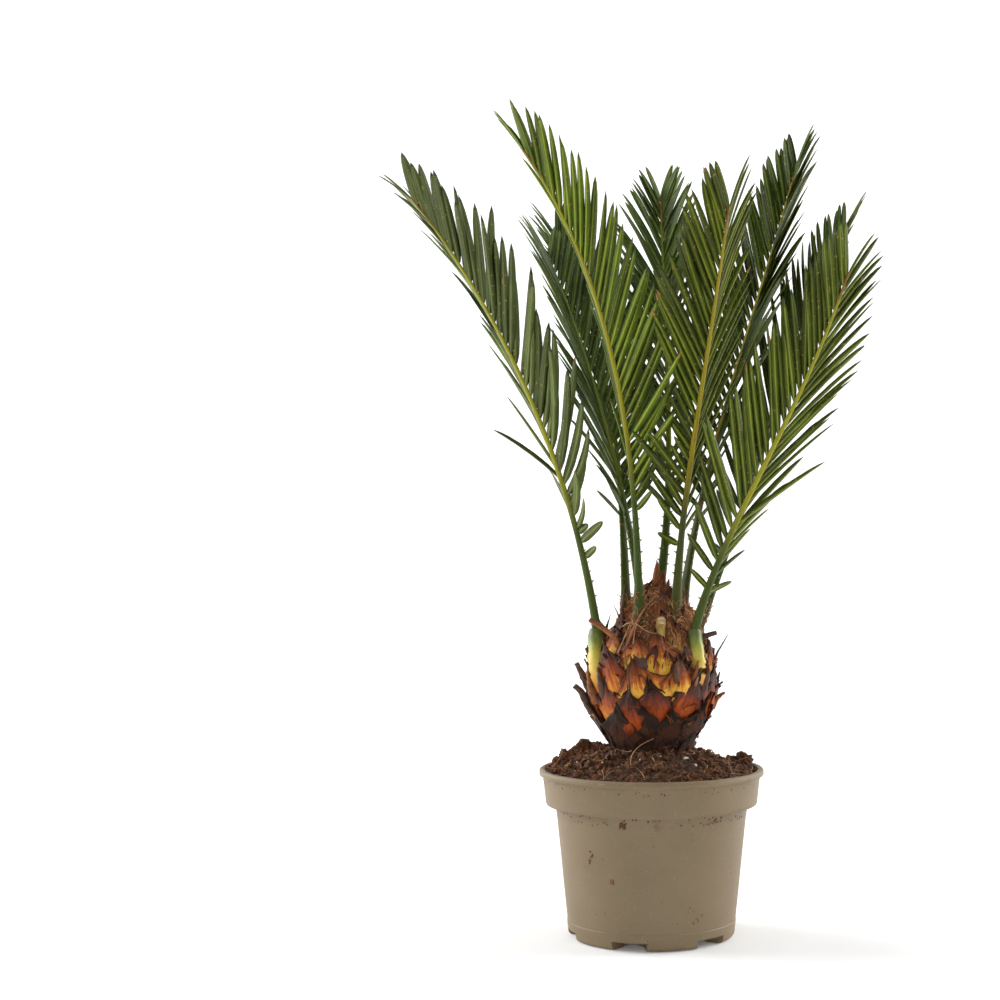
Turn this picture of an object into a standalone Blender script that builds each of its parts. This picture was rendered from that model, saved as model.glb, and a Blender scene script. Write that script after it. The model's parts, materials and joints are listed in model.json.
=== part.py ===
"""A young sago palm in its nursery pot: pot, peat, caudex and nine fronds. Metres, +Z up.

The origin is on the ground under the middle of the pot. +X is to the right and -Y to the front.
"""

import math

import bmesh
import bpy
import numpy as np
from mathutils import Vector
from mathutils.bvhtree import BVHTree
from mathutils.geometry import interpolate_bezier

MM = 0.001
GAP = 0.3 * MM

# The pot, turned in thin plastic
POT_HEIGHT = 111.0 * MM
LIP_RADIUS = 75.0 * MM
LIP_HEIGHT = 4.4 * MM
BAND_TOP_RADIUS = 72.7 * MM
BAND_FOOT_RADIUS = 70.7 * MM
BAND_FOOT_HEIGHT = 87.5 * MM
WALL_TOP_RADIUS = 64.4 * MM
WALL_FOOT_RADIUS = 55.3 * MM
WALL = 1.6 * MM
FLOOR_TOP = 7.2 * MM
CHANNEL_ROOF = 5.2 * MM
DISC_RADIUS = 25.0 * MM
FOOT_INNER_RADIUS = 44.0 * MM
POT_SIDES = 48
NOTCHES = 6
FIRST_NOTCH = math.radians(-105.0)
NOTCH_HEIGHT = 5.6 * MM
NOTCH_OUTER_WIDTH = 27.0 * MM
NOTCH_INNER_WIDTH = 14.0 * MM
NOTCH_FROM = 43.0 * MM
NOTCH_TO = 58.0 * MM
HOLE_RADIUS = 3.0 * MM
HOLE_CIRCLE = 35.0 * MM

# The peat that fills the pot
SOIL_EDGE_HEIGHT = 108.0 * MM
SOIL_MOUND = 24.0 * MM
SOIL_DIP = 5.0 * MM
SOIL_DIP_AT = math.radians(55.0)
SOIL_LUMPS = 0.9 * MM
SOIL_SIDES = 36
SOCKET_FLOOR = 112.0 * MM
SOCKET_RADIUS = 28.5 * MM

# The caudex, a bulb clad in old leaf bases
CAUDEX_FOOT = SOCKET_FLOOR + GAP
CAUDEX_TOP = 226.0 * MM
# Share of its height and radius in millimetres, from the flat cut to the top
CAUDEX_OUTLINE = (
    (0.0, 24.0),
    (0.06, 25.0),
    (0.11, 27.5),
    (0.2, 33.5),
    (0.27, 37.5),
    (0.4, 42.5),
    (0.52, 43.5),
    (0.62, 42.0),
    (0.73, 38.0),
    (0.84, 32.0),
    (0.93, 24.0),
    (1.0, 12.0),
)
SCALE_ROWS = 11
SCALES_ROUND = 13
SCALE_RELIEF = 2.8 * MM
BUD_SPIKE = 26.0 * MM
# Cut leaf stalks that still stand out of the caudex: heading in degrees, height, length
STALK_STUBS = (
    (188.0, 199.0 * MM, 10.0 * MM),
    (205.0, 172.0 * MM, 7.0 * MM),
    (184.0, 160.0 * MM, 5.0 * MM),
    (-72.0, 207.0 * MM, 11.0 * MM),
    (-14.0, 196.0 * MM, 9.0 * MM),
    (-4.0, 181.0 * MM, 8.0 * MM),
    (12.0, 160.0 * MM, 5.0 * MM),
    (75.0, 196.0 * MM, 10.0 * MM),
    (130.0, 178.0 * MM, 8.0 * MM),
)

# The rib of a frond. Its stalk is bare but for spines, which start a share of the way up
STALK_HALF_WIDTH = 3.4 * MM
RIB_HALF_WIDTH = 2.3 * MM
TIP_HALF_WIDTH = 0.8 * MM
RIB_DEPTH = 0.8
SPINE_LENGTH = 2.4 * MM
SPINES_FROM = 0.11

# A leaflet. It is widest at MIDDLE, a share of its length, and its tip sags by a share of its length
LEAFLET_PITCH = 9.0 * MM
LEAFLET_LENGTH = 77.0 * MM
LEAFLET_WIDTH = 5.6 * MM
LEAFLET_THICKNESS = 0.95 * MM
LEAFLET_SAG = 0.07
MIDDLE = 0.45
KEEP_CLEAR = 0.45 * MM

# The row of leaflets, by share of the way from its foot to its tip. LEAFLET_FILL is how much of the
# room between two leaflets a blade takes; the lengths are shares of LEAFLET_LENGTH
LEAFLET_FILL = 0.8
FIRST_LENGTH = 0.3
FULL_LENGTH_AT = 0.175
LAST_LENGTH = 0.42
SHORTENING_POWER = 4.0
NARROWEST = 0.45
SPREAD_AT_FOOT = math.radians(50.0)
SPREAD_AT_TIP = math.radians(21.0)
SPREAD_POWER = 0.5


class Frond:
    """One frond: where it is seated, where its rib ends, how it leaves and ends, and how it is turned.

    seat and tip are points in millimetres. leaves and ends are (rise, heading) in degrees: the rib's
    direction at the seat and at the tip. roll turns the blade about the rib, valley is the angle by which
    both rows of leaflets are raised, and bare is the share of the rib that is a spiny stalk.
    """

    def __init__(self, name, seat, tip, leaves, ends, roll=0.0, valley=30.0, bare=0.26):
        self.name = name
        self.seat = Vector(seat) * MM
        self.tip = Vector(tip) * MM
        self.leaves = direction(*leaves)
        self.ends = direction(*ends)
        self.roll = math.radians(roll)
        self.valley = math.radians(valley)
        self.bare = bare


def direction(rise, heading):
    rise, heading = math.radians(rise), math.radians(heading)
    return Vector((math.cos(rise) * math.cos(heading), math.cos(rise) * math.sin(heading), math.sin(rise)))


# The fronds that show most come first, because a leaflet gives way to those placed before it
FRONDS = (
    Frond("frond_front_left", (-8, -20, 208), (-80, -95, 506), (89, -137), (51, -155), roll=12, bare=0.23),
    Frond("frond_front", (16, -18, 208), (47, -115, 467), (88, -65), (62, -77), roll=-18, bare=0.21),
    Frond("frond_left", (-34, -8, 185), (-157, -29, 487), (84, -170), (51, -174), roll=-30),
    Frond("frond_front_right", (25, -20, 187), (122, -90, 430), (78, -43), (70, -34), roll=30, bare=0.2),
    Frond("frond_rear_right", (20, 14, 205), (106, 100, 537), (83, 49), (67, 50), bare=0.23),
    Frond("frond_right", (31, 4, 205), (137, 65, 482), (66, 15), (57, 43), bare=0.2),
    Frond("frond_rear", (2, 20, 210), (7, 135, 518), (72, 50), (60, 91), bare=0.24),
    Frond("frond_rear_left", (-17, 22, 206), (-70, 112, 486), (88, 137), (58, 144), bare=0.24),
    Frond("frond_far_left", (-6, 8, 212), (-76, 78, 470), (82, 133), (45, 116), bare=0.24),
)


def clear_scene():
    for obj in list(bpy.data.objects):
        bpy.data.objects.remove(obj)


def material(name, colour, roughness):
    made = bpy.data.materials.new(name)
    made.use_nodes = True
    shader = made.node_tree.nodes["Principled BSDF"]
    shader.inputs["Base Color"].default_value = (*colour, 1.0)
    shader.inputs["Roughness"].default_value = roughness
    shader.inputs["Metallic"].default_value = 0.0
    return made


def mesh_object(name, points, faces, finish, smooth_angle=None):
    """A closed mesh as an object of its own, with its faces turned outwards."""
    mesh = bpy.data.meshes.new(name)
    mesh.from_pydata([tuple(p) for p in points], [], faces)
    shell = bmesh.new()
    shell.from_mesh(mesh)
    bmesh.ops.recalc_face_normals(shell, faces=shell.faces)
    if shell.calc_volume(signed=True) < 0:
        bmesh.ops.reverse_faces(shell, faces=shell.faces)
    shell.to_mesh(mesh)
    shell.free()
    if smooth_angle is not None:
        mesh.shade_smooth()
        mesh.set_sharp_from_angle(angle=smooth_angle)
    obj = bpy.data.objects.new(name, mesh)
    bpy.context.scene.collection.objects.link(obj)
    obj.data.materials.append(finish)
    return obj


def cut(obj, cutter):
    """Takes the cutter's shape out of the object and leaves the cutter as a hidden guide."""
    cutter.hide_render = True
    cutter.display_type = "WIRE"
    modifier = obj.modifiers.new(f"cut by {cutter.name}", "BOOLEAN")
    modifier.operation = "DIFFERENCE"
    modifier.solver = "EXACT"
    modifier.object = cutter


def lathe(profile, sides):
    """Points and faces of a solid of revolution; the profile runs from axis to axis."""
    points = [(0.0, 0.0, profile[0][1])]
    for radius, height in profile[1:-1]:
        for i in range(sides):
            angle = 2 * math.pi * i / sides
            points.append((radius * math.cos(angle), radius * math.sin(angle), height))
    points.append((0.0, 0.0, profile[-1][1]))
    rings = len(profile) - 2
    last = len(points) - 1
    faces = []
    for i in range(sides):
        following = (i + 1) % sides
        faces.append((0, 1 + i, 1 + following))
        for ring in range(rings - 1):
            low = 1 + ring * sides
            faces.append((low + i, low + sides + i, low + sides + following, low + following))
        top = 1 + (rings - 1) * sides
        faces.append((last, top + following, top + i))
    return points, faces


def notch(heading):
    """A block that widens outwards through the foot ring, from below the ground to the notch's roof."""
    out = Vector((math.cos(heading), math.sin(heading), 0.0))
    across = Vector((-math.sin(heading), math.cos(heading), 0.0))
    points = []
    for distance, width in ((NOTCH_FROM, NOTCH_INNER_WIDTH), (NOTCH_TO, NOTCH_OUTER_WIDTH)):
        for half, height in ((-0.5, -MM), (0.5, -MM), (0.5, NOTCH_HEIGHT), (-0.5, NOTCH_HEIGHT)):
            points.append(out * distance + across * half * width + Vector((0.0, 0.0, height)))
    faces = [(0, 1, 2, 3), (7, 6, 5, 4)]
    faces += [((i + 1) % 4, i, 4 + i, 4 + (i + 1) % 4) for i in range(4)]
    return points, faces


def joined(shapes):
    points, faces = [], []
    for more_points, more_faces in shapes:
        first = len(points)
        points.extend(more_points)
        faces.extend(tuple(first + i for i in face) for face in more_faces)
    return points, faces


def wall_radius(height):
    """The outer radius of the plain wall under the band."""
    share = height / BAND_FOOT_HEIGHT
    return WALL_FOOT_RADIUS + (WALL_TOP_RADIUS - WALL_FOOT_RADIUS) * share


def pot():
    corner = 2.6 * MM
    edge = 0.8 * MM
    shelf = BAND_FOOT_HEIGHT + WALL
    lip_foot = POT_HEIGHT - LIP_HEIGHT
    profile = [
        (0.0, 0.0),
        (DISC_RADIUS, 0.0),
        (DISC_RADIUS + 3 * MM, CHANNEL_ROOF),
        (FOOT_INNER_RADIUS - 2 * MM, CHANNEL_ROOF),
        (FOOT_INNER_RADIUS, 0.0),
        (wall_radius(0.0) - corner, 0.0),
        (wall_radius(0.0) - edge, edge),
        (wall_radius(corner), corner),
        (WALL_TOP_RADIUS, BAND_FOOT_HEIGHT - edge),
        (WALL_TOP_RADIUS + edge, BAND_FOOT_HEIGHT),
        (BAND_FOOT_RADIUS - edge, BAND_FOOT_HEIGHT),
        (BAND_FOOT_RADIUS, BAND_FOOT_HEIGHT + corner),
        (BAND_TOP_RADIUS, lip_foot - edge),
        (LIP_RADIUS - edge, lip_foot),
        (LIP_RADIUS, lip_foot + edge),
        (LIP_RADIUS, POT_HEIGHT - edge),
        (LIP_RADIUS - edge, POT_HEIGHT),
        (BAND_TOP_RADIUS - WALL, POT_HEIGHT),
        (BAND_FOOT_RADIUS - WALL, shelf + edge),
        (BAND_FOOT_RADIUS - WALL - edge, shelf),
        (WALL_TOP_RADIUS - WALL, shelf),
        (wall_radius(FLOOR_TOP) - WALL, FLOOR_TOP + edge),
        (wall_radius(FLOOR_TOP) - WALL - edge, FLOOR_TOP),
        (0.0, FLOOR_TOP),
    ]
    plastic = material("pot_plastic", (0.27, 0.22, 0.14), 0.6)
    obj = mesh_object("pot", *lathe(profile, POT_SIDES), plastic, math.radians(30))
    cut(obj, drain_cutters(plastic))
    return obj


def drain_cutters(finish):
    """Six notches in the foot, and a drain hole between each pair of them."""
    shapes = []
    for i in range(NOTCHES):
        heading = FIRST_NOTCH + 2 * math.pi * i / NOTCHES
        shapes.append(notch(heading))
        shapes.append(drain_hole(heading + math.pi / NOTCHES))
    return mesh_object("drain_cutter", *joined(shapes), finish)


def drain_hole(heading):
    low, high = -2 * MM, FLOOR_TOP + 2 * MM
    profile = [(0.0, low), (HOLE_RADIUS, low), (HOLE_RADIUS, high), (0.0, high)]
    points, faces = lathe(profile, 10)
    x, y = HOLE_CIRCLE * math.cos(heading), HOLE_CIRCLE * math.sin(heading)
    return [(px + x, py + y, pz) for px, py, pz in points], faces


def soil_height(radius, heading):
    """The peat is mounded against the caudex, lies level with the lip, and dips at the back right."""
    share = radius / BAND_TOP_RADIUS
    mound = SOIL_MOUND * max(0.0, 1.0 - share) ** 0.8
    dip = SOIL_DIP * share * max(0.0, math.cos(heading - SOIL_DIP_AT)) ** 2
    lumps = math.sin(5 * heading + 40 * share) + 0.7 * math.sin(9 * heading - 23 * share + 1.0)
    return SOIL_EDGE_HEIGHT + mound - dip + SOIL_LUMPS * lumps * min(1.0, 2 * share)


def soil():
    """A plug that keeps clear of the pot, with a flat socket in its top for the caudex's foot."""
    shelf = BAND_FOOT_HEIGHT + WALL
    bottom = FLOOR_TOP + GAP
    inside = WALL + GAP
    profile = [
        (0.0, bottom),
        (wall_radius(bottom) - inside - MM, bottom),
        (wall_radius(bottom) - inside - 0.2 * MM, bottom + MM),
        (WALL_TOP_RADIUS - inside - 0.3 * MM, shelf - MM),
        (WALL_TOP_RADIUS - inside, shelf + GAP),
        (BAND_FOOT_RADIUS - inside - MM, shelf + GAP),
        (BAND_FOOT_RADIUS - inside - 0.2 * MM, shelf + 1.5 * MM),
        (BAND_TOP_RADIUS - inside - 1.6 * MM, SOIL_EDGE_HEIGHT - 7 * MM),
        (66.0 * MM, 0.0),
        (58.0 * MM, 0.0),
        (50.0 * MM, 0.0),
        (42.0 * MM, 0.0),
        (SOCKET_RADIUS + 3 * MM, 0.0),
        (SOCKET_RADIUS, SOCKET_FLOOR),
        (0.0, SOCKET_FLOOR),
    ]
    points, faces = lathe(profile, SOIL_SIDES)
    surface = []
    for x, y, z in points:
        radius = math.hypot(x, y)
        on_top = z == 0.0 and radius > 0.0
        surface.append((x, y, soil_height(radius, math.atan2(y, x)) if on_top else z))
    return mesh_object("soil", surface, faces, material("peat", (0.05, 0.03, 0.02), 0.95))


def caudex_radius(share):
    shares = [row[0] for row in CAUDEX_OUTLINE]
    radii = [row[1] * MM for row in CAUDEX_OUTLINE]
    return float(np.interp(share, shares, radii))


def caudex_normal(share, heading):
    """Square to the smooth bulb, from how fast its radius grows with height."""
    step = 0.02
    widening = caudex_radius(min(1.0, share + step)) - caudex_radius(max(0.0, share - step))
    climb = (min(1.0, share + step) - max(0.0, share - step)) * (CAUDEX_TOP - CAUDEX_FOOT)
    return Vector((climb * math.cos(heading), climb * math.sin(heading), -widening)).normalized()


def caudex_point(share, heading):
    radius = caudex_radius(share)
    height = CAUDEX_FOOT + share * (CAUDEX_TOP - CAUDEX_FOOT)
    return Vector((radius * math.cos(heading), radius * math.sin(heading), height))


def stub_length(heading, height, step, row_height):
    """How far the leaf base here stands out, where it is one of the cut stalks."""
    for at, stub_height, length in STALK_STUBS:
        turn = (heading - math.radians(at) + math.pi) % (2 * math.pi) - math.pi
        if abs(turn) < step / 2 and abs(height - stub_height) < row_height / 2:
            return length
    return 0.0


def caudex():
    """Rows of four-sided leaf bases, each row set half a step round from the one below."""
    step = 2 * math.pi / SCALES_ROUND
    rows = SCALE_ROWS + 1
    row_height = (CAUDEX_TOP - CAUDEX_FOOT) / SCALE_ROWS
    points, faces = [], []
    for row in range(rows):
        for i in range(SCALES_ROUND):
            points.append(caudex_point(row / SCALE_ROWS, step * (i + 0.5 * (row % 2))))

    def corner(row, i):
        return row * SCALES_ROUND + i % SCALES_ROUND

    for row in range(1, rows - 1):
        odd = row % 2
        for i in range(SCALES_ROUND):
            share = row / SCALE_ROWS
            heading = step * (i + 0.5 + 0.5 * odd)
            middle = caudex_point(share, heading)
            out = Vector((math.cos(heading), math.sin(heading), 0.0))
            length = stub_length(heading, middle.z, step, row_height)
            rise = SCALE_RELIEF * (0.6 + 0.7 * min(1.0, 2 * share))
            tip = middle + caudex_normal(share, heading) * rise + Vector((0.0, 0.0, 0.5 * rise))
            tip += (out * 0.8 + Vector((0.0, 0.0, 0.55))) * length
            apex = len(points)
            points.append(tip)
            left, right = corner(row, i), corner(row, i + 1)
            below, above = corner(row - 1, i + odd), corner(row + 1, i + odd)
            faces += [(apex, left, below), (apex, below, right), (apex, right, above), (apex, above, left)]
    close_ends(points, faces, corner, rows)
    return mesh_object("caudex", points, faces, material("leaf_bases", (0.22, 0.12, 0.05), 0.85))


def close_ends(points, faces, corner, rows):
    """A flat cut under the caudex, and the pointed bud of brown scales on top of it."""
    foot, bud = len(points), len(points) + 1
    points.append(Vector((0.0, 0.0, CAUDEX_FOOT)))
    points.append(Vector((5 * MM, 2 * MM, CAUDEX_TOP + BUD_SPIKE)))
    top_row, next_row = rows - 1, rows - 2
    for i in range(SCALES_ROUND):
        faces.append((foot, corner(0, i + 1), corner(0, i)))
        faces.append((corner(0, i), corner(0, i + 1), corner(1, i)))
        shift = next_row % 2
        faces.append((corner(top_row, i), corner(next_row, i + 1 - shift), corner(top_row, i + 1)))
        faces.append((corner(top_row, i), corner(top_row, i + 1), bud))


def rib_stations(frond):
    """Points along the rib a leaflet's pitch apart, each with the rib's direction, side and face."""
    span = (frond.tip - frond.seat).length
    handles = frond.seat + frond.leaves * span * 0.28, frond.tip - frond.ends * span * 0.36
    fine = interpolate_bezier(frond.seat, *handles, frond.tip, 200)
    walked = np.concatenate([[0.0], np.cumsum([(b - a).length for a, b in zip(fine, fine[1:])])])
    count = round(walked[-1] / LEAFLET_PITCH)
    stations = []
    for k in range(count + 1):
        distance = walked[-1] * k / count
        place = Vector([float(np.interp(distance, walked, [p[axis] for p in fine])) for axis in range(3)])
        stations.append(place)
    return [(place, *frame_at(stations, k, frond.roll)) for k, place in enumerate(stations)]


def frame_at(stations, k, roll):
    """Along the rib, to its side, and out of the face that looks at the palm's axis."""
    before, after = stations[max(k - 1, 0)], stations[min(k + 1, len(stations) - 1)]
    along = (after - before).normalized()
    outwards = stations[-1] - stations[0]
    across = Vector((outwards.y, -outwards.x, 0.0)).normalized()
    face = across.cross(along).normalized()
    side = along.cross(face)
    rolled_side = side * math.cos(roll) + face * math.sin(roll)
    rolled_face = face * math.cos(roll) - side * math.sin(roll)
    return along, rolled_side, rolled_face


def rib_size(frond, share):
    """Half the rib's width and half its depth: a swollen foot, a stalk, and a rib that thins out."""
    shares = [0.0, 0.03, 0.08, frond.bare, 1.0]
    foot, ankle = 1.45 * STALK_HALF_WIDTH, 1.3 * STALK_HALF_WIDTH
    widths = [foot, ankle, STALK_HALF_WIDTH, RIB_HALF_WIDTH, TIP_HALF_WIDTH]
    width = float(np.interp(share, shares, widths))
    return width, RIB_DEPTH * width


def leaflet_spread(share):
    """The angle between leaflet and rib, widest at the foot of the row."""
    return SPREAD_AT_FOOT + (SPREAD_AT_TIP - SPREAD_AT_FOOT) * share**SPREAD_POWER


def leaflet_length(share):
    """Short at the foot of the row, soon at its full length, and shorter again towards the tip."""
    growing = min(1.0, FIRST_LENGTH + (1.0 - FIRST_LENGTH) * share / FULL_LENGTH_AT)
    return LEAFLET_LENGTH * growing * (1.0 - (1.0 - LAST_LENGTH) * share**SHORTENING_POWER)


def leaflet_half_width(share, length):
    """Narrower in a short leaflet, and never so wide that it meets the next one on the rib."""
    room = LEAFLET_PITCH * math.sin(leaflet_spread(share))
    width = LEAFLET_WIDTH * min(1.0, NARROWEST + length / LEAFLET_LENGTH)
    return min(width, LEAFLET_FILL * room) / 2


def leaflet_points(frond, station, hand, share, shorter, grown=0.0):
    """The four corners half-way along the blade, and its tip."""
    place, along, side, face = station
    spread = leaflet_spread(share)
    outwards = side * hand * math.cos(frond.valley) + face * math.sin(frond.valley)
    axis = along * math.cos(spread) + outwards * math.sin(spread)
    across = (along - axis * along.dot(axis)).normalized()
    length = leaflet_length(share) * shorter
    wide = across * (leaflet_half_width(share, length) + grown)
    thick = axis.cross(across) * (LEAFLET_THICKNESS / 2 + grown)
    root = place + side * hand * rib_size(frond, 0.5)[0]
    middle = root + axis * length * MIDDLE
    ring = [middle + wide * a + thick * b for a, b in ((-1, 1), (-1, -1), (1, -1), (1, 1))]
    return ring, root + axis * (length + grown) - face * length * LEAFLET_SAG


def blade_shell(frond, station, hand, share, shorter, root):
    """The blade a little larger than life, as the space that has to be free of other fronds."""
    ring, tip = leaflet_points(frond, station, hand, share, shorter, KEEP_CLEAR)
    middle = sum(root, Vector()) / 4
    points = [corner + (corner - middle).normalized() * KEEP_CLEAR for corner in root] + ring + [tip]
    faces = [(a, b, b + 4, a + 4) for a, b in ((0, 1), (1, 2), (2, 3), (3, 0))]
    faces += [(4, 5, 8), (5, 6, 8), (6, 7, 8), (7, 4, 8)]
    return points, faces


def free_length(frond, station, hand, share, taken, root):
    """The share of its full length at which the leaflet is clear of all that is taken, or none."""
    for shorter in (1.0, 0.85, 0.7, 0.55, 0.4, 0.25):
        tree = BVHTree.FromPolygons(*blade_shell(frond, station, hand, share, shorter, root))
        if not any(tree.overlap(other) for other in taken):
            return shorter
    return 0.0


def ring_points(frond, station, share, grown=0.0):
    half_width, half_depth = (size + grown for size in rib_size(frond, share))
    place, _, side, face = station
    corners = ((1, 1), (1, -1), (-1, -1), (-1, 1))
    return [place + side * half_width * a + face * half_depth * b for a, b in corners]


def rib_tube(frond, stations, grown=0.0):
    """The bare rib as points and faces, as other fronds and the caudex meet it."""
    last = len(stations) - 1
    points, faces = [], []
    for k, station in enumerate(stations):
        points += ring_points(frond, station, k / last, grown)
    for k in range(last):
        for i in range(4):
            a, b = 4 * k + i, 4 * k + (i + 1) % 4
            faces.append((a, b, b + 4, a + 4))
    faces += [(3, 2, 1, 0), tuple(range(4 * last, 4 * last + 4))]
    return points, faces


def frond_object(frond, stations, taken, finish):
    """The rib with a leaflet or a spine drawn out of each stretch of its two sides."""
    last = len(stations) - 1
    points, faces = [], []
    for k, station in enumerate(stations):
        points += ring_points(frond, station, k / last)
    for k in range(last):
        for i in (0, 1, 2, 3):
            a, b = 4 * k + i, 4 * k + (i + 1) % 4
            base = (a, b, b + 4, a + 4)
            if i in (1, 3):
                faces.append(base)
            else:
                draw_out(frond, stations, k, 1 if i == 0 else -1, base, taken, points, faces)
    faces += [(3, 2, 1, 0), tuple(range(4 * last, 4 * last + 4))]
    return mesh_object(frond.name, points, faces, finish)


def draw_out(frond, stations, k, hand, base, taken, points, faces):
    last = len(stations) - 1
    share = (k + 0.5) / last
    along = (share - frond.bare) / (1.0 - frond.bare)
    station = [(a + b) / 2 for a, b in zip(stations[k], stations[k + 1])]
    if along < 0.0:
        if share < SPINES_FROM:
            faces.append(base)
        else:
            spine(station, hand, base, rib_size(frond, share)[0], points, faces)
        return
    shorter = free_length(frond, station, hand, along, taken, [points[i] for i in base])
    if not shorter:
        faces.append(base)
        return
    ring, tip = leaflet_points(frond, station, hand, along, shorter)
    first = len(points)
    points += ring + [tip]
    for i in range(4):
        j = (i + 1) % 4
        faces.append((base[i], base[j], first + j, first + i))
        faces.append((first + i, first + j, first + 4))


def spine(station, hand, base, width, points, faces):
    place, along, side, face = station
    apex = len(points)
    points.append(place + side * hand * (width + SPINE_LENGTH) + along * MM + face * MM)
    for i in range(4):
        faces.append((base[i], base[(i + 1) % 4], apex))


def crown(trunk):
    """All fronds, in turn: each leaflet keeps clear of every rib and of the leaflets placed before it."""
    green = material("leaf_green", (0.09, 0.17, 0.03), 0.5)
    stations = {frond.name: rib_stations(frond) for frond in FRONDS}
    ribs = {frond.name: BVHTree.FromPolygons(*rib_tube(frond, stations[frond.name])) for frond in FRONDS}
    placed = []
    for frond in FRONDS:
        others = [tree for name, tree in ribs.items() if name != frond.name]
        made = frond_object(frond, stations[frond.name], others + placed, green)
        placed.append(BVHTree.FromObject(made, bpy.context.evaluated_depsgraph_get()))
        socket = mesh_object(f"socket_{frond.name}", *rib_tube(frond, stations[frond.name], GAP), green)
        cut(trunk, socket)


def main():
    clear_scene()
    pot()
    soil()
    crown(caudex())


main()
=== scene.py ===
"""A young sago palm in its nursery pot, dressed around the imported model. Metres, +Z up."""

import json
import math
import random

import bmesh
import bpy
import numpy as np
from mathutils import Euler, Matrix, Vector, noise
from mathutils.bvhtree import BVHTree
from mathutils.geometry import interpolate_bezier

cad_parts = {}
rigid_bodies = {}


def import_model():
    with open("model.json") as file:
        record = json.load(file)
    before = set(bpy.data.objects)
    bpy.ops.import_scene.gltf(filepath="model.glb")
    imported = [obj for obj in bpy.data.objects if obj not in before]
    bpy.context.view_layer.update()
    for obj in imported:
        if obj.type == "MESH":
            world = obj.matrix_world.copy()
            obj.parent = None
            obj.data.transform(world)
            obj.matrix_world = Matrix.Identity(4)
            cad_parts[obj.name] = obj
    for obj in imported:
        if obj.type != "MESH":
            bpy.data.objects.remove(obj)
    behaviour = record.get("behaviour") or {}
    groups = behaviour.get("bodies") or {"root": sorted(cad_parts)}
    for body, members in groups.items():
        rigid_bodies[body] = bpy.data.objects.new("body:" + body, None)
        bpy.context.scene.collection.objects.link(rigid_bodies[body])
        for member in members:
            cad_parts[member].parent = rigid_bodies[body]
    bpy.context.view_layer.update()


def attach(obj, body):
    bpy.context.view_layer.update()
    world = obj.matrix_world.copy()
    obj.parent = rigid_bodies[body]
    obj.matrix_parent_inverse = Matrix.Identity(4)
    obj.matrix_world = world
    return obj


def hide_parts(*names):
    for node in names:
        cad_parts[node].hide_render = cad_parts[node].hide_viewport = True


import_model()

MM = 0.001
BODY = "root"

# POT. A nursery pot of matt taupe plastic, moulded in one piece with a thin lip, a rim band and a foot
# ring. Six notches in the foot and six holes in the floor let the water out. Peat dirt sticks under
# the lip and the band, and the wall is scuffed from handling.
POT_SIDES = 160
NOTCHES = 6
FIRST_NOTCH = math.radians(-105.0)
NOTCH_HEIGHT = 5.6 * MM
NOTCH_OUTER_WIDTH = 27.0 * MM
NOTCH_INNER_WIDTH = 14.0 * MM
NOTCH_FROM = 43.0 * MM
NOTCH_TO = 58.0 * MM
HOLE_RADIUS = 3.0 * MM
HOLE_CIRCLE = 35.0 * MM
LIP_RADIUS = 75.0 * MM
LIP_TOP = 111.0 * MM
BAND_FOOT_HEIGHT = 87.5 * MM
# Radius and height in millimetres, from the middle of the underside round the outside to the floor
POT_PROFILE = (
    (0.0, 0.0),
    (24.6, 0.0),
    (25.3, 0.3),
    (28.0, 5.2),
    (41.7, 5.2),
    (43.6, 0.4),
    (44.1, 0.0),
    (52.6, 0.0),
    (53.7, 0.2),
    (54.7, 0.8),
    (55.4, 1.8),
    (55.7, 3.2),
    (56.45, 10.7),
    (56.2, 11.2),
    (56.6, 15.0),
    (58.6, 34.0),
    (61.2, 60.0),
    (63.8, 85.0),
    (64.1, 86.6),
    (64.7, 87.3),
    (65.6, 87.5),
    (69.2, 87.5),
    (70.2, 87.8),
    (70.7, 88.7),
    (70.85, 90.2),
    (72.5, 105.6),
    (72.8, 106.3),
    (73.8, 106.6),
    (74.6, 107.0),
    (75.0, 107.9),
    (75.0, 109.6),
    (74.7, 110.5),
    (73.9, 111.0),
    (72.0, 111.0),
    (71.3, 110.7),
    (71.0, 110.0),
    (69.3, 90.4),
    (68.8, 89.3),
    (67.8, 89.1),
    (63.0, 89.1),
    (62.5, 88.0),
    (54.6, 8.2),
    (53.4, 7.2),
    (0.0, 7.2),
)


def wire(tree, kind, inputs=None, **settings):
    """A new node with its settings, and each named input linked to a socket or set to a value."""
    made = tree.nodes.new(kind)
    for key, value in settings.items():
        setattr(made, key, value)
    for key, value in (inputs or {}).items():
        if isinstance(value, bpy.types.NodeSocket):
            tree.links.new(value, made.inputs[key])
        elif value is not None:
            made.inputs[key].default_value = value
    return made


def maths(tree, operation, a, b=None):
    return wire(tree, "ShaderNodeMath", {0: a, 1: b}, operation=operation).outputs[0]


def joined_vector(tree, x, y, z):
    return wire(tree, "ShaderNodeCombineXYZ", {0: x, 1: y, 2: z}).outputs[0]


def shape_tree(name, inputs):
    """A Geometry Nodes tree with its named inputs, and the node that hands them on."""
    tree = bpy.data.node_groups.new(name, "GeometryNodeTree")
    tree.interface.new_socket("Guide", in_out="INPUT", socket_type="NodeSocketGeometry")
    for label, kind, value in inputs:
        socket = tree.interface.new_socket(label, in_out="INPUT", socket_type=f"NodeSocket{kind}")
        if value is not None:
            socket.default_value = value
    tree.interface.new_socket("Shape", in_out="OUTPUT", socket_type="NodeSocketGeometry")
    return tree, tree.nodes.new("NodeGroupInput").outputs


def end_tree(tree, geometry):
    wire(tree, "NodeGroupOutput", {0: geometry})


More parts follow.
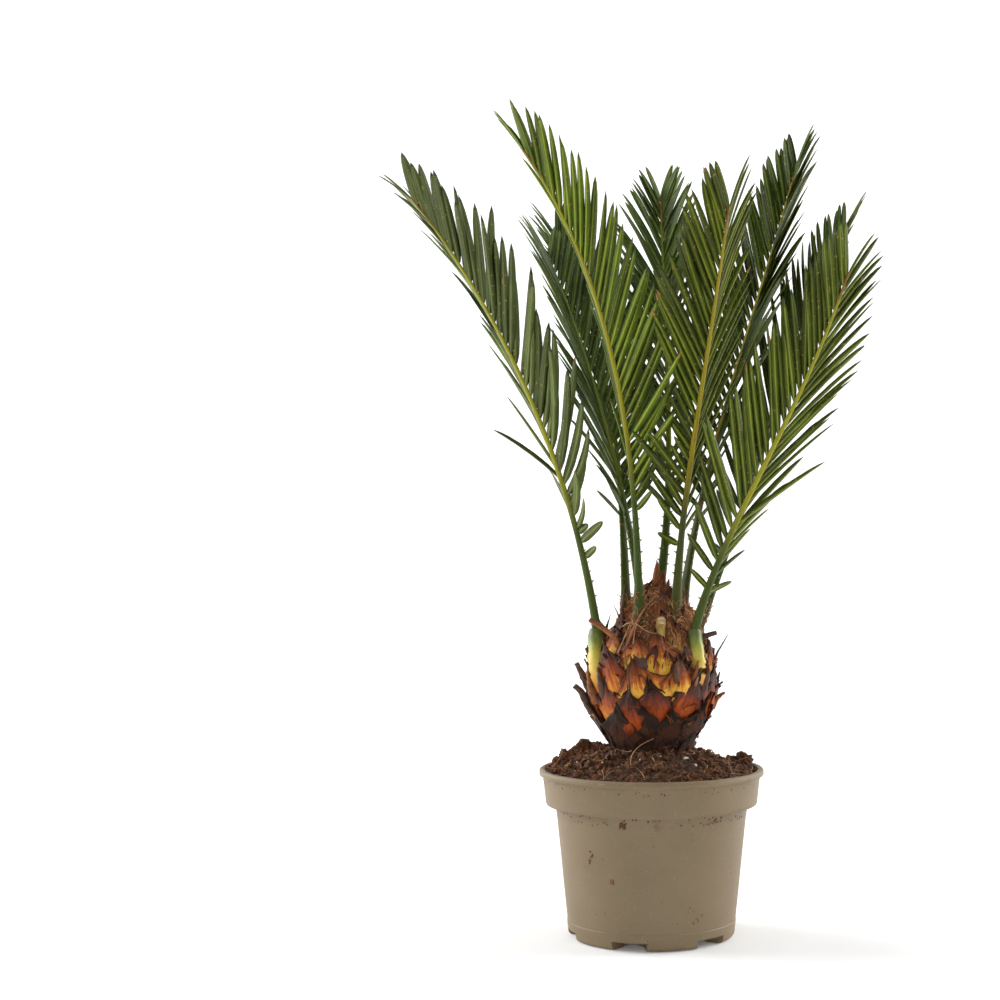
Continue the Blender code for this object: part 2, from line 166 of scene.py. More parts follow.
def turned_on_axis(tree, guide, sides):
    """The guide's points, read as a profile, turned once round the Z axis and closed."""
    count = wire(tree, "GeometryNodeAttributeDomainSize", {0: guide}, component="MESH").outputs["Point Count"]
    row = maths(tree, "ADD", sides, 1.0)
    sheet = wire(tree, "GeometryNodeMeshGrid", {"Vertices X": count, "Vertices Y": row}).outputs["Mesh"]
    index = wire(tree, "GeometryNodeInputIndex").outputs[0]
    ring = maths(tree, "FLOOR", maths(tree, "DIVIDE", maths(tree, "ADD", index, 0.5), row))
    around = maths(tree, "SUBTRACT", index, maths(tree, "MULTIPLY", ring, row))
    angle = maths(tree, "DIVIDE", maths(tree, "MULTIPLY", around, 2 * math.pi), sides)
    place = wire(tree, "GeometryNodeInputPosition").outputs[0]
    on_profile = wire(
        tree,
        "GeometryNodeSampleIndex",
        {"Geometry": guide, "Value": place, "Index": ring},
        data_type="FLOAT_VECTOR",
    ).outputs[0]
    split = wire(tree, "ShaderNodeSeparateXYZ", {0: on_profile}).outputs
    x = maths(tree, "MULTIPLY", split[0], maths(tree, "COSINE", angle))
    y = maths(tree, "MULTIPLY", split[0], maths(tree, "SINE", angle))
    turned = wire(
        tree,
        "GeometryNodeSetPosition",
        {"Geometry": sheet, "Position": joined_vector(tree, x, y, split[2])},
    ).outputs[0]
    return wire(tree, "GeometryNodeMergeByDistance", {"Geometry": turned, "Distance": 0.01 * MM}).outputs[0]


def round_the_axis(tree, shape, count, first):
    """Copies of the shape, evenly round the Z axis."""
    index = wire(tree, "GeometryNodeInputIndex").outputs[0]
    step = maths(tree, "DIVIDE", 2 * math.pi, count)
    turn = maths(tree, "ADD", maths(tree, "MULTIPLY", index, step), first)
    points = wire(tree, "GeometryNodePoints", {"Count": count}).outputs[0]
    euler = wire(tree, "FunctionNodeEulerToRotation", {0: joined_vector(tree, 0.0, 0.0, turn)}).outputs[0]
    placed = wire(
        tree,
        "GeometryNodeInstanceOnPoints",
        {"Points": points, "Instance": shape, "Rotation": euler},
    ).outputs[0]
    return wire(tree, "GeometryNodeRealizeInstances", {0: placed}).outputs[0]


def pot_tree():
    tree, given = shape_tree(
        "turned pot",
        (
            ("Sides", "Int", POT_SIDES),
            ("Notches", "Int", NOTCHES),
            ("First notch", "Float", FIRST_NOTCH),
            ("Notch height", "Float", NOTCH_HEIGHT),
            ("Notch outer width", "Float", NOTCH_OUTER_WIDTH),
            ("Notch inner width", "Float", NOTCH_INNER_WIDTH),
            ("Hole radius", "Float", HOLE_RADIUS),
            ("Hole circle", "Float", HOLE_CIRCLE),
            ("Plastic", "Material", None),
        ),
    )
    shell = turned_on_axis(tree, given["Guide"], given["Sides"])
    block = wire(tree, "GeometryNodeMeshCube", {"Size": (1.0, 1.0, 1.0)}).outputs["Mesh"]
    split = wire(tree, "ShaderNodeSeparateXYZ", {0: wire(tree, "GeometryNodeInputPosition").outputs[0]}).outputs
    outward = maths(tree, "ADD", split[0], 0.5)
    widening = maths(tree, "SUBTRACT", given["Notch outer width"], given["Notch inner width"])
    width = maths(tree, "ADD", given["Notch inner width"], maths(tree, "MULTIPLY", widening, outward))
    x = maths(tree, "ADD", NOTCH_FROM, maths(tree, "MULTIPLY", outward, NOTCH_TO - NOTCH_FROM))
    y = maths(tree, "MULTIPLY", split[1], width)
    z = maths(tree, "MULTIPLY", maths(tree, "ADD", split[2], 0.5), given["Notch height"])
    low = maths(tree, "MULTIPLY", maths(tree, "LESS_THAN", split[2], 0.0), -2 * MM)
    notch = wire(
        tree,
        "GeometryNodeSetPosition",
        {"Geometry": block, "Position": joined_vector(tree, x, y, maths(tree, "ADD", z, low))},
    ).outputs[0]
    notches = round_the_axis(tree, notch, given["Notches"], given["First notch"])
    rod = wire(
        tree,
        "GeometryNodeMeshCylinder",
        {"Vertices": 20, "Radius": given["Hole radius"], "Depth": 20 * MM},
    ).outputs["Mesh"]
    hole = wire(
        tree,
        "GeometryNodeTransform",
        {"Geometry": rod, "Translation": joined_vector(tree, given["Hole circle"], 0.0, 0.0)},
    ).outputs[0]
    between = maths(tree, "ADD", given["First notch"], maths(tree, "DIVIDE", math.pi, given["Notches"]))
    holes = round_the_axis(tree, hole, given["Notches"], between)
    cutters = wire(tree, "GeometryNodeJoinGeometry", {0: notches})
    tree.links.new(holes, cutters.inputs[0])
    cut = wire(tree, "GeometryNodeMeshBoolean", {0: shell}, operation="DIFFERENCE", solver="EXACT")
    tree.links.new(cutters.outputs[0], cut.inputs[1])
    whole = wire(tree, "GeometryNodeRealizeInstances", {0: cut.outputs[0]}).outputs[0]
    painted = wire(tree, "GeometryNodeSetMaterial", {"Geometry": whole, "Material": given["Plastic"]}).outputs[0]
    end_tree(tree, painted)
    return tree


def grown(name, guide, tree, values):
    """The guide mesh run through the tree, as a plain mesh object at the origin."""
    host = bpy.data.objects.new(f"{name}_guide", guide)
    bpy.context.scene.collection.objects.link(host)
    modifier = host.modifiers.new(tree.name, "NODES")
    modifier.node_group = tree
    for item in tree.interface.items_tree:
        if item.name in values:
            modifier[item.identifier] = values[item.name]
    graph = bpy.context.evaluated_depsgraph_get()
    mesh = bpy.data.meshes.new_from_object(host.evaluated_get(graph), preserve_all_data_layers=True, depsgraph=graph)
    mesh.name = name
    host.modifiers.remove(modifier)
    bpy.data.objects.remove(host)
    return object_of(name, mesh)


def object_of(name, mesh):
    made = bpy.data.objects.new(name, mesh)
    bpy.context.scene.collection.objects.link(made)
    return made


def guide_points(name, places, vectors=None, floats=None, whole=None):
    """A mesh of bare points that carry named attributes for a tree to read."""
    mesh = bpy.data.meshes.new(name)
    mesh.from_pydata([tuple(p) for p in places], [], [])
    for kinds, kind, key in (
        (vectors, "FLOAT_VECTOR", "vector"),
        (floats, "FLOAT", "value"),
        (whole, "INT", "value"),
    ):
        for label, values in (kinds or {}).items():
            attribute = mesh.attributes.new(label, kind, "POINT")
            attribute.data.foreach_set(key, np.array(values).ravel())
    return mesh


def face_outwards(obj):
    """Turns a closed mesh the right way out, where its volume reads as negative."""
    shell = bmesh.new()
    shell.from_mesh(obj.data)
    if shell.calc_volume(signed=True) < 0:
        bmesh.ops.reverse_faces(shell, faces=shell.faces)
        shell.to_mesh(obj.data)
    shell.free()


def smooth(obj, degrees=180.0):
    obj.data.shade_smooth()
    obj.data.set_sharp_from_angle(angle=math.radians(degrees))


def carried(obj, node_names):
    """Seats a finished piece on the body, in place of its CAD nodes."""
    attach(obj, BODY)
    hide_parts(*node_names)


def finish(name, roughness):
    made = bpy.data.materials.new(name)
    made.use_nodes = True
    shader = made.node_tree.nodes["Principled BSDF"]
    shader.inputs["Roughness"].default_value = roughness
    return made, made.node_tree, shader


def grain(tree, scale, detail=3.0, stretch=(1.0, 1.0, 1.0), sharp=0.6):
    """Noise fixed to the piece, as a share from 0 to 1."""
    where = wire(tree, "ShaderNodeTexCoord").outputs["Object"]
    placed = wire(tree, "ShaderNodeMapping", {"Vector": where, "Scale": stretch}).outputs[0]
    inputs = {"Vector": placed, "Scale": scale, "Detail": detail, "Roughness": sharp}
    return wire(tree, "ShaderNodeTexNoise", inputs).outputs["Fac"]


def ramp(tree, share, stops):
    """Colours that follow a share; each stop is a place and a colour."""
    made = wire(tree, "ShaderNodeValToRGB", {"Fac": share})
    elements = made.color_ramp.elements
    while len(elements) < len(stops):
        elements.new(0.5)
    for element, (at, colour) in zip(elements, stops):
        element.position = at
        element.color = (*colour, 1.0)
    return made.outputs["Color"]


def blended(tree, share, a, b, mode="MIX"):
    made = wire(tree, "ShaderNodeMix", {0: share}, data_type="RGBA", blend_type=mode)
    for key, colour in ((6, a), (7, b)):
        if isinstance(colour, bpy.types.NodeSocket):
            tree.links.new(colour, made.inputs[key])
        else:
            made.inputs[key].default_value = (*colour, 1.0)
    return made.outputs[2]


def shares(tree, value, low, high):
    """The value read as a share of the way from low to high, held between 0 and 1."""
    inputs = {"Value": value, "From Min": low, "From Max": high}
    return wire(tree, "ShaderNodeMapRange", inputs, clamp=True).outputs[0]


def bumped(tree, shader, height, distance, strength=1.0):
    inputs = {"Height": height, "Distance": distance, "Strength": strength}
    tree.links.new(wire(tree, "ShaderNodeBump", inputs).outputs[0], shader.inputs["Normal"])


def pot_plastic():
    made, tree, shader = finish("pot_plastic_moulded", 0.52)
    split = wire(tree, "ShaderNodeSeparateXYZ", {0: wire(tree, "ShaderNodeTexCoord").outputs["Object"]}).outputs
    clouds = ramp(tree, grain(tree, 22.0), ((0.3, (0.172, 0.122, 0.062)), (0.7, (0.202, 0.147, 0.079))))
    speckled = blended(tree, shares(tree, grain(tree, 900.0, 2.0), 0.62, 0.8), clouds, (0.3, 0.23, 0.15))
    scuffs = shares(tree, grain(tree, 60.0, 6.0, (1.0, 1.0, 0.25), 0.75), 0.66, 0.8)
    scuffed = blended(tree, maths(tree, "MULTIPLY", scuffs, 0.35), speckled, (0.38, 0.31, 0.22))
    under_band = shares(tree, maths(tree, "ABSOLUTE", maths(tree, "SUBTRACT", split[2], 85 * MM)), 9 * MM, 0.0)
    under_lip = shares(tree, maths(tree, "ABSOLUTE", maths(tree, "SUBTRACT", split[2], 104 * MM)), 8 * MM, 0.0)
    near_foot = shares(tree, split[2], 26 * MM, 0.0)
    dirt_here = maths(tree, "ADD", maths(tree, "MAXIMUM", under_band, under_lip), maths(tree, "MULTIPLY", near_foot, 0.4))
    clumps = maths(tree, "ADD", grain(tree, 130.0, 5.0, sharp=0.7), maths(tree, "MULTIPLY", dirt_here, 0.07))
    patches = shares(tree, grain(tree, 34.0, 2.0), 0.46, 0.62)
    dirt = maths(tree, "MULTIPLY", shares(tree, clumps, 0.665, 0.71), patches)
    dirty = blended(tree, dirt, scuffed, (0.105, 0.05, 0.022))
    tree.links.new(dirty, shader.inputs["Base Color"])
    rough = maths(tree, "ADD", 0.47, maths(tree, "MULTIPLY", grain(tree, 90.0, 4.0), 0.18))
    tree.links.new(rough, shader.inputs["Roughness"])
    fine = maths(tree, "ADD", grain(tree, 700.0, 3.0), maths(tree, "MULTIPLY", dirt, 4.0))
    bumped(tree, shader, fine, 0.05 * MM, 0.6)
    return made


profile = guide_points("pot_profile", [(r * MM, 0.0, z * MM) for r, z in POT_PROFILE])
pot_shell = grown("pot_shell", profile, pot_tree(), {"Plastic": pot_plastic()})
face_outwards(pot_shell)
smooth(pot_shell, 32.0)
carried(pot_shell, ["pot"])

# PEAT. Dark brown potting peat, pressed in by hand: a lumpy top mounded against the trunk, crumbs of all
# sizes, orange-brown fibres, grains of white perlite, and a few pale thin roots that lie on it.
SOIL_EDGE_HEIGHT = 108.0 * MM
SOIL_MOUND = 24.0 * MM
SOIL_DIP = 8.5 * MM
SOIL_DIP_AT = math.radians(55.0)
SOIL_RADIUS = 70.6 * MM
SOIL_RINGS = 60
CRUMB_DENSITY = 210000.0
FIBRE_DENSITY = 45000.0
PERLITE_DENSITY = 3200.0
# The larger lumps: place and size in millimetres
LUMPS = (
    (-43.5, 12.0, 120.5, 15.0),
    (-36.0, 10.0, 121.0, 12.0),
    (-50.0, 9.0, 118.0, 11.0),
    (-57.0, 6.0, 116.0, 11.0),
    (-62.0, 2.0, 112.5, 9.0),
    (-29.0, 8.0, 121.0, 10.0),
    (62.0, 20.0, 113.0, 11.0),
    (55.0, 22.0, 112.0, 9.0),
    (-33.0, -40.0, 113.0, 8.0),
    (20.0, -52.0, 111.0, 7.0),
    (44.0, -40.0, 111.0, 8.0),
    (-10.0, 55.0, 112.0, 9.0),
    (30.0, 48.0, 111.0, 8.0),
)
# Pale roots on the peat, as points in millimetres
PALE_ROOTS = (
    ((2.5, -31.0, 134.5), (-3.0, -36.0, 132.5), (-8.5, -40.0, 129.5), (-12.5, -43.5, 125.0), (-13.5, -46.5, 120.0), (-12.5, -49.0, 116.5)),
    ((0.5, -41.0, 123.0), (3.0, -48.0, 119.0), (1.5, -55.0, 115.5), (3.0, -62.0, 112.0), (2.5, -66.0, 110.4)),
    ((30.0, -34.0, 121.0), (36.0, -40.0, 117.5), (34.0, -50.0, 114.0), (40.0, -56.0, 111.0)),
    ((-52.0, -30.0, 113.0), (-44.0, -40.0, 113.5), (-32.0, -44.0, 115.0), (-24.0, -54.0, 112.5)),
    ((-20.0, 40.0, 119.0), (-32.0, 46.0, 115.0), (-40.0, 42.0, 114.0)),
)


def soil_height(x, y):
    """Mounded against the trunk, level with the lip and lower at the back right, with fine lumps."""
    share = math.hypot(x, y) / (72.7 * MM)
    mound = SOIL_MOUND * max(0.0, 1.0 - share) ** 0.8
    dip = SOIL_DIP * share * max(0.0, math.cos(math.atan2(y, x) - SOIL_DIP_AT)) ** 2
    spot = Vector((x, y, 0.0)) / MM
    lumps = 1.5 * noise.noise(spot / 11.0) + 1.3 * noise.noise(spot / 4.5) + 0.6 * noise.noise(spot / 1.9)
    return SOIL_EDGE_HEIGHT + mound - dip + lumps * MM


def strewn_tree(name):
    """Shapes strewn on the guide's upward faces, turned and sized at random."""
    tree, given = shape_tree(
        name,
        (
            ("Shapes", "Collection", None),
            ("Density", "Float", 1000.0),
            ("Seed", "Int", 1),
            ("Smallest", "Float", 0.5),
            ("Largest", "Float", 2.0),
            ("Tilt", "Float", 3.0),
            ("Finish", "Material", None),
        ),
    )
    normal = wire(tree, "ShaderNodeSeparateXYZ", {0: wire(tree, "GeometryNodeInputNormal").outputs[0]}).outputs
    upward = wire(tree, "FunctionNodeCompare", {0: normal[2], 1: 0.35}, operation="GREATER_THAN").outputs[0]
    spread = wire(
        tree,
        "GeometryNodeDistributePointsOnFaces",
        {"Mesh": given["Guide"], "Selection": upward, "Density": given["Density"], "Seed": given["Seed"]},
    )
    shapes = wire(tree, "GeometryNodeCollectionInfo", {0: given["Shapes"], 1: True, 2: True}).outputs[0]
    lean = wire(
        tree,
        "FunctionNodeRandomValue",
        {
            0: joined_vector(tree, maths(tree, "MULTIPLY", given["Tilt"], -1.0), maths(tree, "MULTIPLY", given["Tilt"], -1.0), 0.0),
            1: joined_vector(tree, given["Tilt"], given["Tilt"], 2 * math.pi),
            "Seed": given["Seed"],
        },
        data_type="FLOAT_VECTOR",
    ).outputs[0]
    turn = wire(
        tree,
        "FunctionNodeRotateRotation",
        {0: spread.outputs["Rotation"], 1: wire(tree, "FunctionNodeEulerToRotation", {0: lean}).outputs[0]},
        rotation_space="LOCAL",
    ).outputs[0]
    chance = wire(tree, "FunctionNodeRandomValue", {2: 0.0, 3: 1.0, "Seed": given["Seed"]}, data_type="FLOAT").outputs[1]
    few_large = maths(tree, "POWER", chance, 3.0)
    growth = maths(tree, "SUBTRACT", given["Largest"], given["Smallest"])
    size = maths(tree, "ADD", given["Smallest"], maths(tree, "MULTIPLY", few_large, growth))
    placed = wire(
        tree,
        "GeometryNodeInstanceOnPoints",
        {"Points": spread.outputs["Points"], "Instance": shapes, "Pick Instance": True, "Rotation": turn, "Scale": size},
    ).outputs[0]
    whole = wire(tree, "GeometryNodeRealizeInstances", {0: placed}).outputs[0]
    painted = wire(tree, "GeometryNodeSetMaterial", {"Geometry": whole, "Material": given["Finish"]}).outputs[0]
    end_tree(tree, painted)
    return tree


def shape_box(name, objects):
    """A collection of pattern shapes for a tree to place copies of."""
    box = bpy.data.collections.new(name)
    bpy.context.scene.collection.children.link(box)
    for obj in objects:
        bpy.context.scene.collection.objects.unlink(obj)
        box.objects.link(obj)
    return box


def empty_box(box):
    for obj in list(box.objects):
        bpy.data.objects.remove(obj)
    bpy.data.collections.remove(box)


def crumb(name, seed, flat=0.75, rough=0.35):
    """A crumb about a millimetre across, with a broken surface."""
    shape = bmesh.new()
    bmesh.ops.create_icosphere(shape, subdivisions=1, radius=0.5 * MM)
    for vertex in shape.verts:
        jog = noise.noise(vertex.co / MM * 1.7 + Vector((seed * 7.3, seed * 3.1, 0.0)))
        vertex.co *= 1.0 + rough * 2.0 * jog
        vertex.co.z *= flat
    mesh = bpy.data.meshes.new(name)
    shape.to_mesh(mesh)
    shape.free()
    return object_of(name, mesh)


def thread(name, places, radius, sides=4, taper=0.4):
    """A thin tapering tube through the places, closed at both ends."""
    places = [Vector(p) for p in places]
    last = len(places) - 1
    points, faces = [], []
    across = Vector((0.0, 0.0, 1.0))
    for k, place in enumerate(places):
        along = (places[min(k + 1, last)] - places[max(k - 1, 0)]).normalized()
        side = along.cross(across)
        side = side.normalized() if side.length > 1e-4 else Vector((1.0, 0.0, 0.0))
        other = side.cross(along).normalized()
        thick = radius * (1.0 - (1.0 - taper) * k / last)
        for i in range(sides):
            angle = 2 * math.pi * i / sides
            points.append(place + side * math.cos(angle) * thick + other * math.sin(angle) * thick)
    for k in range(last):
        for i in range(sides):
            a, b = k * sides + i, k * sides + (i + 1) % sides
            faces.append((a, b, b + sides, a + sides))
    faces.append(tuple(reversed(range(sides))))
    faces.append(tuple(range(last * sides, last * sides + sides)))
    mesh = bpy.data.meshes.new(name)
    mesh.from_pydata([tuple(p) for p in points], [], faces)
    made = object_of(name, mesh)
    face_outwards(made)
    return made


def fibre(name, seed, length=9.0, curl=1.0, radius=0.17):
    """A curled fibre a few millimetres long, lying in its own plane."""
    deal = random.Random(seed)
    bend = deal.uniform(-1.3, 1.3) * curl
    heading, place, places = 0.0, Vector((-length / 2, 0.0, 0.0)), []
    for k in range(7):
        places.append(place * MM)
        heading += bend * 0.33 + deal.uniform(-0.35, 0.35) * curl
        place = place + Vector((math.cos(heading), math.sin(heading), deal.uniform(-0.1, 0.22))) * length / 6
    return thread(name, places, radius * MM, 3, 0.4)


def smooth_path(places, count):
    """Points evenly along a smooth curve through the places given in millimetres."""
    points = [Vector(p) * MM for p in places]
    ends = [points[0] * 2 - points[1], *points, points[-1] * 2 - points[-2]]
    made = []
    for k in range(count):
        at = (len(points) - 1) * k / (count - 1)
        i = min(int(at), len(points) - 2)
        t = at - i
        a, b, c, d = ends[i : i + 4]
        made.append(0.5 * (2 * b + (c - a) * t + (2 * a - 5 * b + 4 * c - d) * t**2 + (3 * b - a - 3 * c + d) * t**3))
    return made


def merged(name, objects):
    """Several objects as one mesh, with their materials kept."""
    shape = bmesh.new()
    mesh = bpy.data.meshes.new(name)
    finishes = []
    for obj in objects:
        first = len(shape.faces)
        shape.from_mesh(obj.data)
        shape.faces.ensure_lookup_table()
        for face in shape.faces[first:]:
            held = obj.data.materials[face.material_index] if obj.data.materials else None
            if held not in finishes:
                finishes.append(held)
            face.material_index = finishes.index(held)
        bpy.data.objects.remove(obj)
    shape.to_mesh(mesh)
    shape.free()
    for held in finishes:
        if held:
            mesh.materials.append(held)
    return object_of(name, mesh)


def peat_finish(name, dark, light, roughness=0.95, scale=260.0, middle=0.55):
    made, tree, shader = finish(name, roughness)
    patches = grain(tree, scale, 5.0, sharp=0.75)
    colour = ramp(tree, patches, ((0.32, dark), (middle, light), (0.75, tuple(1.7 * c for c in light))))
    fine = shares(tree, grain(tree, 1500.0, 2.0), 0.6, 0.75)
    speckled = blended(tree, maths(tree, "MULTIPLY", fine, 0.5), colour, (0.16, 0.085, 0.035))
    tree.links.new(speckled, shader.inputs["Base Color"])
    bumped(tree, shader, grain(tree, 900.0, 5.0, sharp=0.75), 0.4 * MM)
    return made


peat = peat_finish("peat_dark", (0.008, 0.0033, 0.0017), (0.05, 0.019, 0.007))
peat_brown = peat_finish("peat_brown", (0.026, 0.01, 0.0045), (0.12, 0.047, 0.018))
peat_crumbs = peat_finish("peat_crumb", (0.005, 0.002, 0.001), (0.15, 0.053, 0.016), 0.95, 150.0, 0.63)
fibre_brown = peat_finish("peat_fibre", (0.14, 0.06, 0.018), (0.42, 0.2, 0.065), 0.8, 90.0)
root_pale = peat_finish("root_pale", (0.24, 0.11, 0.04), (0.46, 0.27, 0.12), 0.7, 120.0)
perlite_white = peat_finish("perlite_white", (0.5, 0.45, 0.36), (0.8, 0.76, 0.68), 0.9, 500.0)

soil_profile = [(0.0, 7.5), (52.7, 7.5), (53.5, 8.5), (62.1, 88.0), (62.4, 89.4), (67.9, 89.4), (68.6, 90.6), (70.3, 107.0)]
soil_profile += [(SOIL_RADIUS / MM * (1.0 - k / SOIL_RINGS), 120.0) for k in range(SOIL_RINGS + 1)]
guide = guide_points("peat_profile", [(r * MM, 0.0, z * MM) for r, z in soil_profile])
turned_tree, given = shape_tree("turned body", (("Sides", "Int", 150), ("Finish", "Material", None)))
turned = turned_on_axis(turned_tree, given["Guide"], given["Sides"])
whole = wire(turned_tree, "GeometryNodeRealizeInstances", {0: turned}).outputs[0]
painted = wire(turned_tree, "GeometryNodeSetMaterial", {"Geometry": whole, "Material": given["Finish"]}).outputs[0]
end_tree(turned_tree, painted)
peat_body = grown("peat_body", guide, turned_tree, {"Finish": peat})
for vertex in peat_body.data.vertices:
    if vertex.co.z > 119.0 * MM:
        vertex.co.z = soil_height(vertex.co.x, vertex.co.y)
face_outwards(peat_body)
smooth(peat_body)

crumb_box = shape_box("crumb_shapes", [crumb(f"crumb_{k}", k) for k in range(4)])
fibre_box = shape_box("fibre_shapes", [fibre(f"fibre_{k}", k, 12.0, 1.1, 0.21) for k in range(5)])
perlite_box = shape_box("perlite_shapes", [crumb(f"perlite_{k}", 20 + k, 0.9, 0.2) for k in range(3)])
strewn = strewn_tree("strewn on peat")
top_only = peat_body.data.copy()
crumbs = grown(
    "peat_crumbs",
    top_only,
    strewn,
    {"Shapes": crumb_box, "Density": CRUMB_DENSITY, "Seed": 3, "Smallest": 0.7, "Largest": 6.5, "Finish": peat_crumbs},
)
fibres = grown(
    "peat_fibres",
    top_only,
    strewn,
    {"Shapes": fibre_box, "Density": FIBRE_DENSITY, "Seed": 8, "Smallest": 0.5, "Largest": 1.5, "Tilt": 0.5, "Finish": fibre_brown},
)
perlite = grown(
    "perlite_grains",
    top_only,
    strewn,
    {"Shapes": perlite_box, "Density": PERLITE_DENSITY, "Seed": 5, "Smallest": 0.9, "Largest": 4.2, "Finish": perlite_white},
)
for box in (crumb_box, fibre_box, perlite_box):
    empty_box(box)
lumps = []
for k, (x, y, z, size) in enumerate(LUMPS):
    shape = bmesh.new()
    bmesh.ops.create_icosphere(shape, subdivisions=4, radius=0.5)
    for vertex in shape.verts:
        spot = vertex.co + Vector((k * 5.3, k * 2.1, 0.0))
        rough = noise.noise(spot * 2.2) * 0.5 + noise.noise(spot * 6.0) * 0.32 + noise.noise(spot * 15.0) * 0.16
        vertex.co = (vertex.co * size * (1.0 + rough) + Vector((x, y, z))) * MM
    mesh = bpy.data.meshes.new(f"lump_{k}")
    shape.to_mesh(mesh)
    shape.free()
    mesh.materials.append(peat_crumbs)
    lumps.append(object_of(f"lump_{k}", mesh))
roots = []
for k, places in enumerate(PALE_ROOTS):
    root = thread(f"root_{k}", smooth_path(places, 26), 0.3 * MM, 6, 0.6)
    root.data.materials.append(root_pale)
    roots.append(root)
peat_lumps = merged("peat_lumps", lumps)
pale_roots = merged("pale_roots", roots)
for piece in (peat_body, crumbs, fibres, perlite, peat_lumps, pale_roots):
    smooth(piece, 60.0)
    carried(piece, ["soil"])

# TRUNK. The caudex is a bulb clad in the bases of old leaves: dark, weathered and nearly smooth at the
# foot, red-brown at the waist, and cream with torn red-brown edges above. Dry papery scales and stubs of
# cut stalks stand out between them, and brown felt fills the crown round a two-pointed bud.
CAUDEX_FOOT = 112.3 * MM
CAUDEX_TOP = 226.0 * MM
# Share of its height and radius in millimetres, from the flat cut to the top
CAUDEX_OUTLINE = (
    (0.0, 24.5),
    (0.06, 25.5),
    (0.1, 27.5),
    (0.18, 33.0),
    (0.27, 38.0),
    (0.36, 40.5),
    (0.46, 41.6),
    (0.56, 41.4),
    (0.62, 39.8),
    (0.68, 36.5),
    (0.73, 33.0),
    (0.79, 27.5),
    (0.85, 24.0),
    (0.93, 19.0),
    (1.0, 11.0),
)
# The crown stands a little to the right of the bulb's middle
CROWN_SHIFT = 4.5 * MM
BASE_ROWS = 7
BASES_ROUND = 12
BASE_WIDTH = 28.0 * MM
BASE_LENGTH = 38.0 * MM
BASE_THICKNESS = 17.0 * MM
DARK_BELOW = 0.25
RED_BELOW = 0.43
FELT_ABOVE = 0.74
PAPER_SCALES = 170
# The feet of the two lowest fronds: points from below upwards in millimetres, and the radius
SWOLLEN_FEET = (
    (((-28.0, -17.0, 160.0), (-34.5, -20.5, 176.0), (-36.6, -16.0, 190.0), (-36.6, -9.8, 203.5)), 7.2),
    (((22.0, -20.0, 159.0), (29.8, -27.2, 174.0), (29.6, -26.0, 189.0), (28.2, -22.8, 204.5)), 6.6),
)


def caudex_radius(share):
    return float(np.interp(share, [row[0] for row in CAUDEX_OUTLINE], [row[1] * MM for row in CAUDEX_OUTLINE]))


def crown_shift(share):
    return CROWN_SHIFT * float(np.interp(share, (0.58, 0.85), (0.0, 1.0)))


def caudex_frame(share, heading):
    """A point of the smooth bulb, with the directions round it, up it and out of it."""
    step = 0.04
    low, high = max(0.0, share - step), min(1.0, share + step)
    widening = (caudex_radius(high) - caudex_radius(low)) / ((high - low) * (CAUDEX_TOP - CAUDEX_FOOT))
    out = Vector((math.cos(heading), math.sin(heading), 0.0))
    up = (out * widening + Vector((0.0, 0.0, 1.0))).normalized()
    around = Vector((-math.sin(heading), math.cos(heading), 0.0))
    axis = Vector((crown_shift(share), 0.0, CAUDEX_FOOT + share * (CAUDEX_TOP - CAUDEX_FOOT)))
    return axis + out * caudex_radius(share), around, up, around.cross(up)


def set_out_tree(name, finishes, parts):
    """Shapes set on the guide's points, each turned, sized and picked by the point's own attributes.

    A face takes the finish numbered kind of point times parts, plus part of shape.
    """
    inputs = [("Shapes", "Collection", None)] + [(label, "Material", None) for label in finishes]
    tree, given = shape_tree(name, inputs)

    def named(label, kind, out):
        return wire(tree, "GeometryNodeInputNamedAttribute", {0: label}, data_type=kind).outputs[out]

    shapes = wire(tree, "GeometryNodeCollectionInfo", {0: given["Shapes"], 1: True, 2: True}).outputs[0]
    turn = wire(tree, "FunctionNodeEulerToRotation", {0: named("turn", "FLOAT_VECTOR", 0)}).outputs[0]
    points = wire(tree, "GeometryNodeMeshToPoints", {0: given["Guide"]}).outputs[0]
    placed = wire(
        tree,
        "GeometryNodeInstanceOnPoints",
        {
            "Points": points,
            "Instance": shapes,
            "Pick Instance": True,
            "Instance Index": named("shape", "INT", 0),
            "Rotation": turn,
            "Scale": named("size", "FLOAT_VECTOR", 0),
        },
    ).outputs[0]
    geometry = wire(tree, "GeometryNodeRealizeInstances", {0: placed}).outputs[0]
    kind = maths(tree, "MULTIPLY", named("tint", "FLOAT", 0), float(parts))
    number = maths(tree, "ADD", kind, named("part", "FLOAT", 0))
    for k, label in enumerate(finishes):
        chosen = maths(tree, "COMPARE", number, float(k))
        chosen.node.inputs[2].default_value = 0.25
        geometry = wire(
            tree,
            "GeometryNodeSetMaterial",
            {"Geometry": geometry, "Selection": chosen, "Material": given[label]},
        ).outputs[0]
    end_tree(tree, geometry)
    return tree


def patterned(name, points, faces, parts, uvs):
    """A pattern shape: its faces carry the part they belong to, and its corners a place on the UV map."""
    mesh = bpy.data.meshes.new(name)
    mesh.from_pydata([tuple(p) for p in points], [], faces)
    part = mesh.attributes.new("part", "FLOAT", "FACE")
    part.data.foreach_set("value", np.array(parts, float))
    layer = mesh.uv_layers.new(name="UVMap")
    layer.data.foreach_set("uv", np.array([uvs[loop.vertex_index] for loop in mesh.loops], float).ravel())
    mesh.shade_smooth()
    made = object_of(name, mesh)
    face_outwards(made)
    return made


